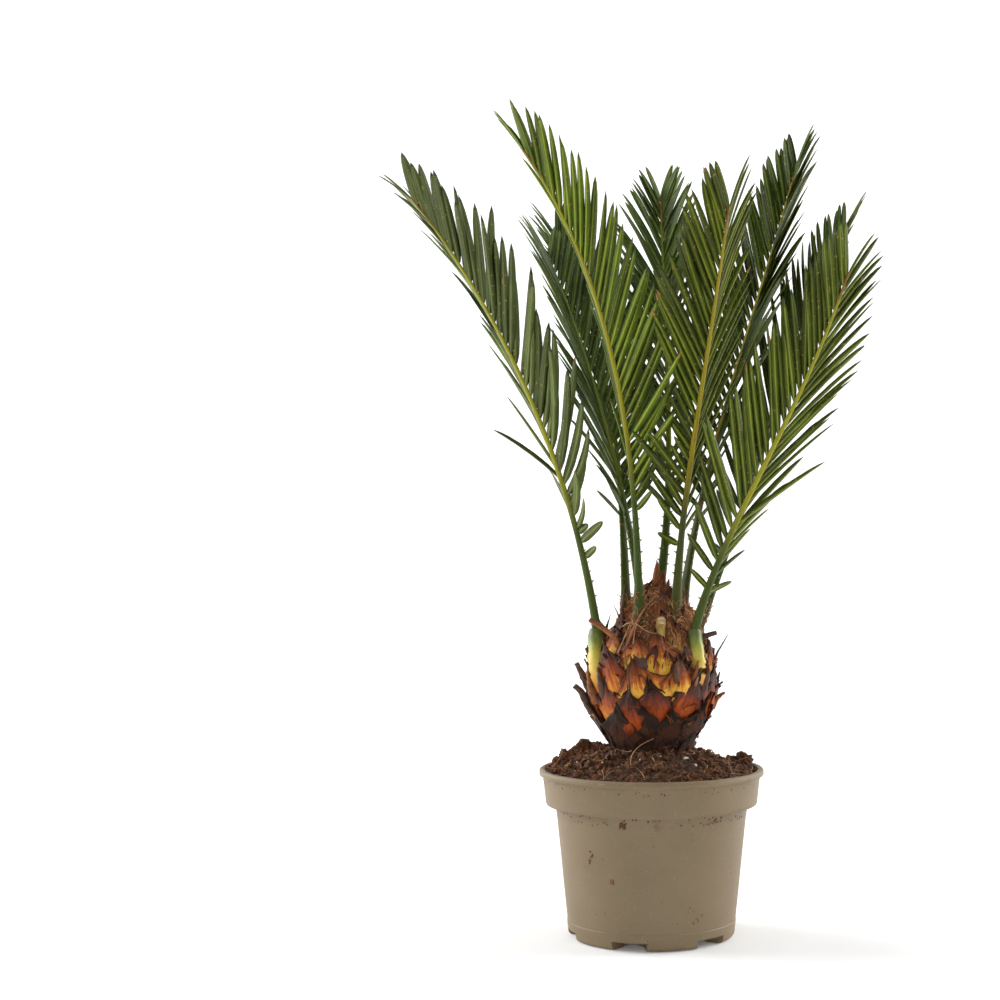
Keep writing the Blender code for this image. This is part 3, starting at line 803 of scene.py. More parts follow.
def plate(name, columns, rows, corner):
    """A thin closed plate over a grid; corner gives a point, its thickness, and a place on the UV map."""
    upper, lower, uvs = [], [], []
    for r in range(rows):
        for c in range(columns):
            point, thick, uv = corner(2.0 * c / (columns - 1) - 1.0, r / (rows - 1))
            upper.append(point)
            lower.append(point - Vector((0.0, 0.0, thick)))
            uvs.append(uv)
    count = columns * rows
    faces = []
    for r in range(rows - 1):
        for c in range(columns - 1):
            a = r * columns + c
            faces.append((a, a + 1, a + columns + 1, a + columns))
            faces.append((count + a + columns, count + a + columns + 1, count + a + 1, count + a))
    rim = list(range(columns))
    rim += [r * columns + columns - 1 for r in range(1, rows)]
    rim += [(rows - 1) * columns + c for c in range(columns - 2, -1, -1)]
    rim += [r * columns for r in range(rows - 2, 0, -1)]
    for a, b in zip(rim, rim[1:] + rim[:1]):
        faces.append((b, a, count + a, count + b))
    return patterned(name, upper + lower, faces, [0] * len(faces), uvs + uvs)


def base_shape(name, seed, flat=1.0):
    """A leaf base: a swollen diamond-shaped pad, grooved lengthwise, torn and thin at its upper edges."""

    def corner(u, v):
        half = float(np.interp(v, (0.0, 0.2, 0.42, 0.6, 0.8, 0.92, 1.0), (0.1, 0.32, 0.5, 0.46, 0.24, 0.12, 0.03)))
        rag = noise.noise(Vector((u * 2.2, v * 3.0, seed * 5.7)))
        side = noise.noise(Vector((v * 6.0, seed * 3.7, math.copysign(4.0, u)))) * 0.6 * abs(u) ** 2 * min(1.0, 2.0 * v)
        tear = noise.noise(Vector((u * 5.0, seed * 3.3, 1.0))) * 0.26 * v**3
        swell = 0.26 * (1.0 - abs(u) ** 2.4) * math.sin(math.pi * min(1.0, v * 0.78 + 0.14))
        grooves = 0.012 * math.sin(13.0 * u + 4.0 * rag + seed) * (0.4 + v)
        lip = 0.05 * v**3 + 0.1 * abs(u) ** 5 * v * (1.0 + 2.0 * rag)
        height = (swell + grooves + 0.07 * rag) * flat + lip
        across = u * half * (1.0 + side) + 0.08 * noise.noise(Vector((v * 3.0, u, seed * 2.0))) * v
        thick = 0.045 + 0.1 * (1.0 - abs(u)) * (1.0 - v)
        return Vector((across, v + tear - 0.42, height)), thick, ((u + 1.0) / 2.0, v)

    return plate(name, 13, 13, corner)


def paper_shape(name, seed):
    """A dry papery scale, pointed and curled, with a torn edge."""

    def corner(u, v):
        half = 0.5 * (1.0 - v) ** 0.7 * (0.75 + 0.6 * v) + 0.02
        rag = noise.noise(Vector((u * 1.5, v * 4.0, seed * 7.1)))
        side = noise.noise(Vector((v * 6.0, seed * 2.9, math.copysign(3.0, u)))) * 0.3 * abs(u)
        curl = (0.1 + 0.3 * (seed % 3)) * v**2
        across = u * half * (1.0 + side) + 0.1 * rag * v
        return Vector((across, v, curl * 0.4 + 0.12 * (u * u) + 0.05 * rag)), 0.035, ((u + 1.0) / 2.0, v)

    return plate(name, 4, 6, corner)


def base_finish(name, colours, streak, roughness=0.5, spread=0.75):
    """Old leaf base: colours from its foot to its tip, drawn out in streaks that fan down from the tip."""
    made, tree, shader = finish(name, roughness)
    shader.inputs["Specular IOR Level"].default_value = 0.3
    uv = wire(tree, "ShaderNodeSeparateXYZ", {0: wire(tree, "ShaderNodeUVMap", uv_map="UVMap").outputs[0]}).outputs
    place = wire(tree, "ShaderNodeSeparateXYZ", {0: wire(tree, "ShaderNodeTexCoord").outputs["Object"]}).outputs
    off_middle = maths(tree, "SUBTRACT", uv[0], 0.5)
    fan = maths(tree, "DIVIDE", off_middle, maths(tree, "SUBTRACT", 1.25, uv[1]))
    along = maths(tree, "ADD", maths(tree, "MULTIPLY", uv[1], 1.1), maths(tree, "MULTIPLY", place[0], 60.0))
    drawn = joined_vector(tree, maths(tree, "MULTIPLY", fan, 15.0), along, maths(tree, "MULTIPLY", place[1], 60.0))
    streaks = wire(tree, "ShaderNodeTexNoise", {"Vector": drawn, "Scale": 1.0, "Detail": 4.0, "Roughness": 0.7}).outputs["Fac"]
    blots = grain(tree, 95.0, 5.0, sharp=0.7)
    wander = maths(tree, "MULTIPLY", maths(tree, "SUBTRACT", streaks, 0.5), spread)
    blotted = maths(tree, "ADD", wander, maths(tree, "MULTIPLY", maths(tree, "SUBTRACT", blots, 0.5), spread * 0.9))
    edge = maths(tree, "MULTIPLY", maths(tree, "POWER", maths(tree, "MULTIPLY", maths(tree, "ABSOLUTE", off_middle), 2.0), 6.0), 0.3)
    up = maths(tree, "ADD", maths(tree, "ADD", uv[1], blotted), edge)
    colour = ramp(tree, up, colours)
    lined = blended(tree, maths(tree, "MULTIPLY", shares(tree, streaks, 0.52, 0.74), 0.75), colour, streak)
    specks = shares(tree, grain(tree, 620.0, 3.0, sharp=0.7), 0.64, 0.72)
    specked = blended(tree, maths(tree, "MULTIPLY", specks, 0.6), lined, tuple(c * 0.35 + 0.02 for c in streak))
    tree.links.new(specked, shader.inputs["Base Color"])
    bumped(tree, shader, maths(tree, "ADD", streaks, maths(tree, "MULTIPLY", blots, 0.8)), 0.9 * MM)
    return made


def paper_finish(name, foot, middle, tip):
    """Dry papery scale: bright at its root, darker to its tip, with fine fibres up it."""
    made, tree, shader = finish(name, 0.6)
    shader.inputs["Specular IOR Level"].default_value = 0.3
    uv = wire(tree, "ShaderNodeSeparateXYZ", {0: wire(tree, "ShaderNodeUVMap", uv_map="UVMap").outputs[0]}).outputs
    blots = grain(tree, 130.0, 4.0, (1.0, 1.0, 0.5), 0.7)
    up = maths(tree, "ADD", uv[1], maths(tree, "MULTIPLY", maths(tree, "SUBTRACT", blots, 0.5), 0.9))
    colour = ramp(tree, up, ((0.05, foot), (0.45, middle), (0.85, tip)))
    fibres = grain(tree, 420.0, 4.0, (1.0, 1.0, 0.1), 0.7)
    lined = blended(tree, shares(tree, fibres, 0.45, 0.7), colour, tuple(c * 0.45 for c in middle))
    tree.links.new(lined, shader.inputs["Base Color"])
    bumped(tree, shader, fibres, 0.5 * MM)
    return made


DARK_BROWN = (0.02, 0.008, 0.004)
base_dark = base_finish(
    "leaf_base_weathered",
    ((0.1, (0.012, 0.007, 0.005)), (0.3, (0.055, 0.018, 0.007)), (0.5, (0.08, 0.025, 0.009)), (0.7, DARK_BROWN), (0.95, (0.034, 0.015, 0.007))),
    (0.016, 0.009, 0.006),
    0.75,
    1.1,
)
base_red = base_finish(
    "leaf_base_red",
    ((0.05, (0.16, 0.022, 0.005)), (0.3, (0.43, 0.076, 0.004)), (0.5, (0.25, 0.034, 0.003)), (0.66, (0.07, 0.014, 0.006)), (0.9, DARK_BROWN)),
    (0.16, 0.025, 0.006),
)
base_orange = base_finish(
    "leaf_base_orange",
    ((0.05, (0.4, 0.08, 0.007)), (0.26, (0.62, 0.24, 0.02)), (0.42, (0.43, 0.095, 0.005)), (0.6, (0.22, 0.034, 0.006)), (0.85, (0.05, 0.015, 0.007))),
    (0.26, 0.04, 0.007),
)
base_cream = base_finish(
    "leaf_base_cream",
    ((0.0, (0.46, 0.15, 0.015)), (0.14, (0.76, 0.39, 0.038)), (0.46, (0.78, 0.42, 0.042)), (0.58, (0.52, 0.12, 0.008)), (0.76, (0.16, 0.028, 0.006)), (0.95, (0.045, 0.016, 0.007))),
    (0.58, 0.2, 0.022),
)
base_felted = base_finish(
    "leaf_base_felted",
    ((0.1, (0.34, 0.12, 0.025)), (0.28, (0.6, 0.33, 0.07)), (0.4, (0.28, 0.09, 0.024)), (0.55, (0.15, 0.052, 0.02)), (0.9, (0.09, 0.032, 0.014))),
    (0.11, 0.036, 0.014),
    0.8,
)
paper_brown = paper_finish("paper_scale_brown", (0.3, 0.07, 0.012), (0.1, 0.026, 0.009), DARK_BROWN)
paper_orange = paper_finish("paper_scale_orange", (0.6, 0.19, 0.025), (0.36, 0.085, 0.013), (0.07, 0.022, 0.008))
felt_brown = peat_finish("felt_brown", (0.03, 0.012, 0.006), (0.14, 0.05, 0.018), 0.95, 160.0)


class Places:
    """Points that a set-out tree reads, gathered one at a time."""

    def __init__(self):
        self.places, self.turns, self.sizes, self.shapes, self.tints = [], [], [], [], []

    def add(self, place, x, y, size, shape=0, tint=0.0):
        y = (y - x * x.dot(y)).normalized()
        self.places.append(place)
        self.turns.append(Matrix((x, y, x.cross(y))).transposed().to_euler("XYZ"))
        self.sizes.append(tuple(size))
        self.shapes.append(shape)
        self.tints.append(tint)

    def guide(self, name):
        vectors = {"turn": self.turns, "size": self.sizes}
        return guide_points(name, self.places, vectors, {"tint": self.tints}, {"shape": self.shapes})


def leaned(up, out, angle):
    """The upward direction of a plate whose tip leans out of the bulb by the angle."""
    return up * math.cos(angle) + out * math.sin(angle)


def near_swollen_foot(place):
    """Leaf bases leave room for the pale feet of the two lowest fronds."""
    return any((place - Vector(p) * MM).length < near * MM for ps, radius in SWOLLEN_FEET for p, near in zip(ps[1:3], (6.5, 10.5)))


def base_tint(share, deal):
    """Which of the five finishes a base has, by its height."""
    chance = deal.random()
    if share < DARK_BELOW:
        return 0.0
    if share < RED_BELOW:
        return 1.0 if chance < 0.7 else 2.0
    if share > FELT_ABOVE:
        return 4.0
    return 1.0 if chance < 0.1 else 2.0 if chance < 0.35 else 3.0


def leaf_base_places():
    """Rows of leaf bases, half a step round from row to row, none quite in its place."""
    deal = random.Random(11)
    made = Places()
    for row in range(BASE_ROWS):
        for i in range(BASES_ROUND):
            share = (row + 0.45) / BASE_ROWS + deal.uniform(-0.036, 0.036)
            heading = 2 * math.pi * (i + 0.25 + 0.5 * (row % 2)) / BASES_ROUND + deal.uniform(-0.13, 0.13)
            place, around, up, out = caudex_frame(share, heading)
            if near_swollen_foot(place):
                continue
            low = share < DARK_BELOW
            up = leaned(up, out, deal.uniform(0.02, 0.12) if low else deal.uniform(0.04, 0.2))
            spin = deal.uniform(-0.27, 0.27)
            x = (around * math.cos(spin) + up * math.sin(spin)).normalized()
            girth = caudex_radius(share) / (41.6 * MM)
            width = BASE_WIDTH * (0.2 + 0.8 * girth) * deal.uniform(0.88, 1.25)
            length = BASE_LENGTH * deal.uniform(0.8, 1.15) * (0.6 + 0.4 * girth)
            depth = BASE_THICKNESS * deal.uniform(0.75, 1.15) * (0.7 if low else 1.0)
            shape = deal.randrange(3) if low else 3 + deal.randrange(5)
            tint = base_tint(share + deal.uniform(-0.03, 0.03), deal)
            made.add(place - out * (2.2 if low else 3.2) * MM, x, up, (width, length, depth), shape, tint)
    return made


def paper_scale_places():
    """Dry scales at the seams of the bases, most of them flat and a few that stand out."""
    deal = random.Random(23)
    made = Places()
    for k in range(PAPER_SCALES):
        share = 0.27 + 0.6 * deal.random()
        place, around, up, out = caudex_frame(share, deal.uniform(0.0, 2 * math.pi))
        stands = deal.random() < 0.4
        up = leaned(up, out, deal.uniform(0.15, 0.6) if stands else deal.uniform(0.0, 0.16))
        spin = deal.gauss(0.0, 0.4)
        x = (around * math.cos(spin) + up * math.sin(spin)).normalized()
        length = (deal.uniform(6.0, 13.0) if stands else deal.uniform(8.0, 15.0)) * MM
        width = length * (deal.uniform(0.12, 0.35) if stands else deal.uniform(0.4, 0.75))
        proud = deal.uniform(-1.0, 0.5) if stands else deal.uniform(-1.5, 0.5)
        tint = float(deal.random() < (0.4 if share < FELT_ABOVE else 0.1))
        made.add(place + out * proud * MM, x, up, (width, length, length), deal.randrange(6), tint)
    return made


core_profile = [(0.0, CAUDEX_FOOT)]
core_profile += [
    (caudex_radius(k / 24) - 3.4 * MM, CAUDEX_FOOT + k / 24 * (CAUDEX_TOP - CAUDEX_FOOT)) for k in range(23)
]
core_profile += [(12 * MM, CAUDEX_TOP - 2 * MM), (6 * MM, CAUDEX_TOP + 4 * MM), (0.0, CAUDEX_TOP + 8 * MM)]
guide = guide_points("core_profile", [(r, 0.0, z) for r, z in core_profile])
trunk_core = grown("trunk_core", guide, turned_tree, {"Sides": 90, "Finish": felt_brown})
for vertex in trunk_core.data.vertices:
    if vertex.co.z > CAUDEX_FOOT + MM:
        rough = noise.noise(vertex.co / MM / 4.0) * 1.3 + noise.noise(vertex.co / MM / 1.7) * 0.7
        vertex.co += Vector((vertex.co.x, vertex.co.y, 0.02)).normalized() * rough * MM
        vertex.co.x += crown_shift((vertex.co.z - CAUDEX_FOOT) / (CAUDEX_TOP - CAUDEX_FOOT))
face_outwards(trunk_core)
smooth(trunk_core)
base_box = shape_box(
    "base_shapes",
    [base_shape(f"base_{k}", k, 0.45 if k < 3 else 1.0) for k in range(8)],
)
dirt_places = Places()
deal = random.Random(41)
for k in range(900):
    share = 0.02 + 0.3 * deal.random() ** 1.4
    place, around, up, out = caudex_frame(share, deal.uniform(0.0, 2 * math.pi))
    size = deal.uniform(0.5, 1.9)
    dirt_places.add(place + out * deal.uniform(-2.2, -0.6) * MM, around, up, (size,) * 3, deal.randrange(4))
dirt_box = shape_box("dirt_shapes", [crumb(f"dirt_{k}", 60 + k) for k in range(4)])
dirt_tree = set_out_tree("peat stuck to the low bases", ("Peat",), 1)
trunk_dirt = grown("trunk_dirt", dirt_places.guide("dirt_places"), dirt_tree, {"Shapes": dirt_box, "Peat": peat_crumbs})
POT_DIRT = (
    # How many crumbs, heading in degrees and its spread, height and its spread in millimetres, largest size
    (90, -90.0, 180.0, 83.5, 2.6, 1.1),
    (60, -90.0, 180.0, 104.0, 1.6, 0.9),
    (16, -107.0, 2.2, 82.0, 2.4, 1.6),
    (9, -129.0, 1.2, 60.5, 3.2, 1.5),
    (7, -130.5, 0.9, 56.5, 1.6, 1.2),
    (6, -115.0, 1.2, 44.5, 1.5, 1.2),
    (14, -50.0, 5.0, 83.0, 2.0, 1.2),
    (9, -58.0, 4.0, 20.0, 4.0, 0.9),
    (40, -90.0, 180.0, 45.0, 40.0, 0.6),
)
wall_rows = sorted((z, r) for r, z in POT_PROFILE[11:31] if (r, z) != (75.0, 109.6))
wall_dirt = Places()
for count, middle, spread, height, rise, largest in POT_DIRT:
    for k in range(count):
        turn = math.radians(middle + deal.uniform(-spread, spread))
        up = height + deal.uniform(-rise, rise)
        out = Vector((math.cos(turn), math.sin(turn), 0.0))
        place = (out * float(np.interp(up, *zip(*wall_rows))) + Vector((0.0, 0.0, up))) * MM
        size = deal.uniform(0.5, 1.4 * largest)
        around = Vector((-out.y, out.x, 0.0))
        wall_dirt.add(place, around, Vector((0.0, 0.0, 1.0)), (size, size * 1.3, size * 0.5), deal.randrange(4))
pot_dirt = grown("pot_dirt", wall_dirt.guide("wall_dirt_places"), dirt_tree, {"Shapes": dirt_box, "Peat": peat_brown})
carried(pot_dirt, ["pot"])
empty_box(dirt_box)
base_labels = ("Weathered base", "Red base", "Orange base", "Cream base", "Felted base")
leaf_bases = grown(
    "leaf_bases",
    leaf_base_places().guide("base_places"),
    set_out_tree("leaf bases set on the bulb", base_labels, 1),
    {"Shapes": base_box, **dict(zip(base_labels, (base_dark, base_red, base_orange, base_cream, base_felted)))},
)
empty_box(base_box)
paper_box = shape_box("paper_shapes", [paper_shape(f"paper_{k}", k) for k in range(6)])
paper_labels = ("Brown paper", "Orange paper")
paper_tree = set_out_tree("papery scales set on the bulb", paper_labels, 1)
paper_scales = grown(
    "paper_scales",
    paper_scale_places().guide("paper_places"),
    paper_tree,
    {"Shapes": paper_box, "Brown paper": paper_brown, "Orange paper": paper_orange},
)

# STUBS AND BUD. Cut leaf stalks that have dried where they stand, some curved like horns, the pale swollen
# feet of the two lowest fronds, and the bud in the middle of the crown: pointed brown scales wrapped
# round each other.
HORNS = (
    # Points from the root to the tip in millimetres, radius at the root, share of it at the tip
    (((-18.0, -29.0, 188.0), (-13.5, -33.0, 201.0), (-7.5, -33.0, 214.0), (1.5, -31.0, 227.0)), 1.5, 0.12),
    (((-38.0, -6.0, 160.0), (-43.0, -7.5, 168.0), (-46.5, -8.0, 175.0), (-50.0, -9.0, 181.5)), 3.4, 0.5),
    (((-39.0, -12.0, 149.0), (-43.5, -13.5, 157.0), (-46.5, -14.0, 163.0), (-51.0, -14.5, 167.0)), 3.0, 0.6),
    (((-21.0, -25.0, 190.0), (-23.5, -29.0, 198.5), (-31.0, -30.0, 205.5), (-40.5, -29.0, 211.5)), 1.9, 0.85),
    (((-37.0, 4.0, 182.0), (-41.5, 4.0, 187.0), (-44.0, 4.0, 191.0)), 2.4, 0.5),
    (((-19.0, -10.0, 208.0), (-19.5, -12.0, 218.0), (-18.5, -12.0, 226.0), (-18.0, -12.5, 234.0)), 1.6, 0.12),
    (((-20.0, -4.0, 206.0), (-22.0, -6.0, 213.0), (-25.5, -6.0, 221.0)), 0.9, 0.15),
    (((31.0, -14.0, 197.0), (36.0, -14.0, 200.0), (43.0, -13.0, 202.0)), 2.0, 0.75),
    (((37.0, -10.0, 174.0), (41.0, -11.0, 181.0), (44.0, -11.0, 189.0), (51.0, -11.0, 201.0)), 1.7, 0.15),
    (((40.0, -6.0, 152.0), (43.5, -7.0, 158.0), (48.5, -8.0, 162.0)), 2.8, 0.3),
    (((-14.5, -40.0, 162.0), (-14.5, -44.0, 172.0), (-16.0, -43.5, 184.0), (-18.5, -38.5, 198.0)), 0.8, 0.3),
    (((16.0, -37.0, 170.0), (16.0, -41.5, 177.0), (16.5, -42.5, 185.0)), 3.0, 0.18),
    (((-30.0, 26.0, 196.0), (-34.0, 31.0, 203.0), (-38.0, 35.0, 208.0)), 2.4, 0.7),
    (((-6.0, 40.0, 172.0), (-7.0, 46.0, 179.0), (-7.0, 50.0, 187.0)), 3.0, 0.4),
    (((24.0, 30.0, 190.0), (28.0, 35.0, 198.0), (31.0, 39.0, 204.0)), 2.6, 0.6),
    (((34.0, 24.0, 162.0), (38.5, 27.5, 168.0), (43.0, 30.0, 173.0)), 2.8, 0.4),
    (((-30.0, 30.0, 158.0), (-33.5, 34.0, 164.0), (-37.0, 37.0, 168.0)), 2.8, 0.4),
    (((10.0, 36.0, 196.0), (11.0, 40.0, 206.0), (10.0, 41.0, 216.0)), 1.5, 0.15),
    (((24.5, -29.5, 164.0), (28.0, -33.6, 174.0), (30.5, -34.4, 185.0)), 4.6, 0.12),
    (((33.5, -25.0, 166.0), (36.0, -27.5, 174.0), (37.5, -27.5, 182.0)), 3.6, 0.15),
    (((-28.5, -23.5, 158.0), (-32.5, -27.5, 168.0), (-35.5, -27.5, 180.0)), 4.8, 0.12),
    (((-35.5, -17.0, 157.0), (-40.0, -20.5, 166.0), (-42.5, -19.5, 177.0)), 4.2, 0.15),
)
CUT_STUBS = (
    # Points from the root to the cut in millimetres, and the radius
    (((6.0, -24.0, 194.0), (6.0, -31.5, 202.0), (6.2, -35.0, 208.5), (6.4, -40.5, 211.5)), 3.0),
    (((-5.0, -36.0, 180.0), (-5.5, -42.5, 183.5), (-6.0, -46.5, 185.5)), 3.1),
)
BUD_SCALES = (
    # Foot and tip in millimetres, half width, and the heading in degrees that the scale faces
    ((1.8, -4.0, 206.0), (3.4, -2.5, 250.0), 4.3, -100.0),
    ((6.8, -3.0, 206.0), (8.2, -2.0, 243.0), 4.2, -80.0),
    ((10.0, -2.0, 206.0), (12.0, -1.0, 237.0), 3.8, -65.0),
    ((2.0, 2.0, 208.0), (3.2, 1.5, 243.0), 3.8, 130.0),
    ((6.5, 3.0, 208.0), (8.2, 3.0, 237.0), 3.8, 60.0),
    ((5.4, -7.0, 203.0), (6.2, -6.5, 229.0), 4.6, -88.0),
    ((-1.5, -6.0, 204.0), (-0.8, -5.0, 233.0), 3.8, -110.0),
    ((-6.0, -9.0, 202.0), (-8.5, -10.5, 225.0), 4.2, -120.0),
    ((-11.0, -9.0, 198.0), (-14.0, -12.0, 219.0), 4.6, -130.0),
    ((14.0, 9.0, 200.0), (16.5, 11.0, 224.0), 4.4, 30.0),
    ((-8.0, 10.0, 200.0), (-11.0, 13.0, 224.0), 4.6, 135.0),
    ((4.0, 14.0, 200.0), (4.5, 18.0, 223.0), 4.6, 90.0),
    ((20.0, -6.0, 196.0), (23.0, -7.0, 216.0), 4.0, -20.0),
    ((10.0, -13.0, 200.0), (11.0, -15.0, 221.0), 4.4, -75.0),
)


def horn(name, places, radius, taper, made_of, sides=9):
    """A dried stub along a curve, a little creased."""
    made = thread(name, smooth_path(places, 14), radius * MM, sides, taper)
    for vertex in made.data.vertices:
        crease = noise.noise(vertex.co / MM / 2.4) * radius * 0.2 * MM
        vertex.co += Vector((1.0, 0.7, 0.2)) * crease
    made.data.materials.append(made_of)
    return made


def bud_scale_shape(name, seed):
    """A pointed scale wrapped round the bud and grooved lengthwise."""

    def corner(u, v):
        half = 0.5 * (1.0 - v**2.4) ** 0.8 + 0.015
        rag = noise.noise(Vector((u * 2.0, v * 3.0, seed * 4.3)))
        wrapped = -0.34 * u * u * (1.0 - 0.5 * v)
        groove = 0.03 * math.sin(13.0 * u + seed)
        return Vector((u * half + 0.08 * rag * v, v + 0.04 * rag, wrapped + groove)), 0.06, ((u + 1.0) / 2.0, v)

    return plate(name, 9, 9, corner)


stub_orange = peat_finish("stub_orange", (0.09, 0.026, 0.008), (0.28, 0.085, 0.016), 0.6, 110.0)
stub_olive = peat_finish("stub_olive", (0.1, 0.055, 0.012), (0.36, 0.24, 0.04), 0.6, 110.0)
stub_brown = peat_finish("stub_brown", (0.022, 0.011, 0.008), (0.1, 0.042, 0.018), 0.7, 110.0)
cut_face = peat_finish("cut_face_tan", (0.2, 0.12, 0.05), (0.52, 0.36, 0.18), 0.8, 500.0)
foot_skin, foot_tree, foot_shader = finish("swollen_foot_skin", 0.45)
height = wire(foot_tree, "ShaderNodeSeparateXYZ", {0: wire(foot_tree, "ShaderNodeTexCoord").outputs["Object"]}).outputs[2]
drift = maths(foot_tree, "MULTIPLY", maths(foot_tree, "SUBTRACT", grain(foot_tree, 260.0, 4.0, (1.0, 1.0, 0.1)), 0.5), 14 * MM)
up_foot = shares(foot_tree, maths(foot_tree, "ADD", height, drift), 160 * MM, 205 * MM)
FOOT_COLOURS = (
    (0.0, (0.4, 0.1, 0.015)),
    (0.2, (0.6, 0.24, 0.04)),
    (0.42, (0.66, 0.46, 0.07)),
    (0.62, (0.52, 0.43, 0.055)),
    (0.76, (0.26, 0.29, 0.035)),
    (0.9, (0.085, 0.115, 0.014)),
    (1.0, (0.065, 0.09, 0.012)),
)
foot_colour = ramp(foot_tree, up_foot, FOOT_COLOURS)
foot_specks = shares(foot_tree, grain(foot_tree, 420.0, 3.0), 0.64, 0.7)
foot_tree.links.new(blended(foot_tree, foot_specks, foot_colour, (0.3, 0.1, 0.03)), foot_shader.inputs["Base Color"])
bumped(foot_tree, foot_shader, grain(foot_tree, 300.0, 4.0, (1.0, 1.0, 0.1)), 0.25 * MM)
bud_red = base_finish("bud_red_brown", ((0.1, (0.03, 0.011, 0.006)), (0.5, (0.15, 0.045, 0.016)), (0.85, (0.27, 0.085, 0.03))), (0.03, 0.011, 0.006), 0.9)
horns = []
for k, (places, radius, taper) in enumerate(HORNS):
    horns.append(horn(f"horn_{k}", places, radius, taper, stub_brown if k % 3 else stub_orange))
for k, (places, radius) in enumerate(CUT_STUBS):
    stub = horn(f"cut_stub_{k}", places, radius, 0.95, (stub_olive, stub_brown)[k])
    if k == 0:
        stub.data.materials.append(cut_face)
        stub.data.polygons[-1].material_index = 1
    horns.append(stub)
for k, (places, radius) in enumerate(SWOLLEN_FEET):
    horns.append(horn(f"swollen_foot_{k}", places, radius, 0.63, foot_skin, 16))
stalk_stubs = merged("stalk_stubs", horns)
smooth(stalk_stubs, 50.0)
bud_places = Places()
for k, (foot, tip, half, heading) in enumerate(BUD_SCALES):
    foot, tip = Vector(foot) * MM, Vector(tip) * MM
    up = (tip - foot).normalized()
    facing = Vector((math.cos(math.radians(heading)), math.sin(math.radians(heading)), 0.0))
    size = (2.0 * half * MM, (tip - foot).length, 2.2 * half * MM)
    bud_places.add(foot, up.cross(facing).normalized(), up, size, k % 3)
bud_box = shape_box("bud_shapes", [bud_scale_shape(f"bud_scale_{k}", k) for k in range(3)])
bud_tree = set_out_tree("bud scales", ("Bud scale",), 1)
bud_scales = grown("bud_scales", bud_places.guide("bud_places"), bud_tree, {"Shapes": bud_box, "Bud scale": bud_red})
for box in (paper_box, bud_box):
    empty_box(box)
for piece in (trunk_core, leaf_bases, paper_scales, trunk_dirt, stalk_stubs, bud_scales):
    carried(piece, ["caudex"])

# STALKS. Each frond has one stalk that turns into its rib: swollen and pale where it leaves the trunk,
# green and spiny below, yellow-green between the leaflets, and brown at its dried tip.
STALK_HALF_WIDTH = 3.4 * MM
RIB_HALF_WIDTH = 2.3 * MM
TIP_HALF_WIDTH = 0.8 * MM
STATION_PITCH = 3.0 * MM
SPINE_PITCH = 7.5 * MM
SPINES_FROM = 0.11


def direction(rise, heading):
    rise, heading = math.radians(rise), math.radians(heading)
    return Vector((math.cos(rise) * math.cos(heading), math.cos(rise) * math.sin(heading), math.sin(rise)))


class Frond:
    """One frond: its seat and tip in millimetres, the rib's direction at both, and how the blade is turned.

    The leaflets of its two sides can be broader, those of one side drawn darker as painted shade above a share of the
    blade, and those below a share bent towards the tip. Unruly ones stray more from their rows.
    """

    def __init__(self, name, seat, tip, leaves, ends, roll=0.0, valley=30.0, bare=0.26, green="fresh", rib="lime", broad=(1.0, 1.0), shaded_above=0.0, bent_below=0.0, unruly=1.0):
        self.name = name
        self.seat = Vector(seat) * MM
        self.tip = Vector(tip) * MM
        self.leaves = direction(*leaves)
        self.ends = direction(*ends)
        self.roll = math.radians(roll)
        self.valley = math.radians(valley)
        self.bare = bare
        self.green = green
        self.rib = rib
        self.broad = broad
        self.shaded_above = shaded_above
        self.bent_below = bent_below
        self.unruly = unruly
        self.stations = self.walk()

    def walk(self):
        """Stations evenly along the rib, each a place, along the rib, to its side, and out of its face."""
        span = (self.tip - self.seat).length
        handles = self.seat + self.leaves * span * 0.28, self.tip - self.ends * span * 0.36
        fine = interpolate_bezier(self.seat, *handles, self.tip, 300)
        walked = np.concatenate([[0.0], np.cumsum([(b - a).length for a, b in zip(fine, fine[1:])])])
        self.length = float(walked[-1])
        count = round(self.length / STATION_PITCH)
        shares_walked = [self.length * k / count for k in range(count + 1)]
        places = [Vector([float(np.interp(d, walked, [p[axis] for p in fine])) for axis in range(3)]) for d in shares_walked]
        outwards = self.tip - self.seat
        across = Vector((outwards.y, -outwards.x, 0.0)).normalized()
        stations = []
        for k, place in enumerate(places):
            along = (places[min(k + 1, count)] - places[max(k - 1, 0)]).normalized()
            face = across.cross(along).normalized()
            side = along.cross(face)
            turned_side = side * math.cos(self.roll) + face * math.sin(self.roll)
            turned_face = face * math.cos(self.roll) - side * math.sin(self.roll)
            stations.append((place, along, turned_side, turned_face))
        return stations

    def at(self, share):
        """The station at a share of the rib's length."""
        spot = share * (len(self.stations) - 1)
        k = min(int(spot), len(self.stations) - 2)
        mixed = [a.lerp(b, spot - k) for a, b in zip(self.stations[k], self.stations[k + 1])]
        return [mixed[0], *(v.normalized() for v in mixed[1:])]

    def half_width(self, share):
        places = [0.0, 0.03, 0.08, self.bare, 1.0]
        widths = [1.45 * STALK_HALF_WIDTH, 1.3 * STALK_HALF_WIDTH, STALK_HALF_WIDTH, RIB_HALF_WIDTH, TIP_HALF_WIDTH]
        return float(np.interp(share, places, widths))


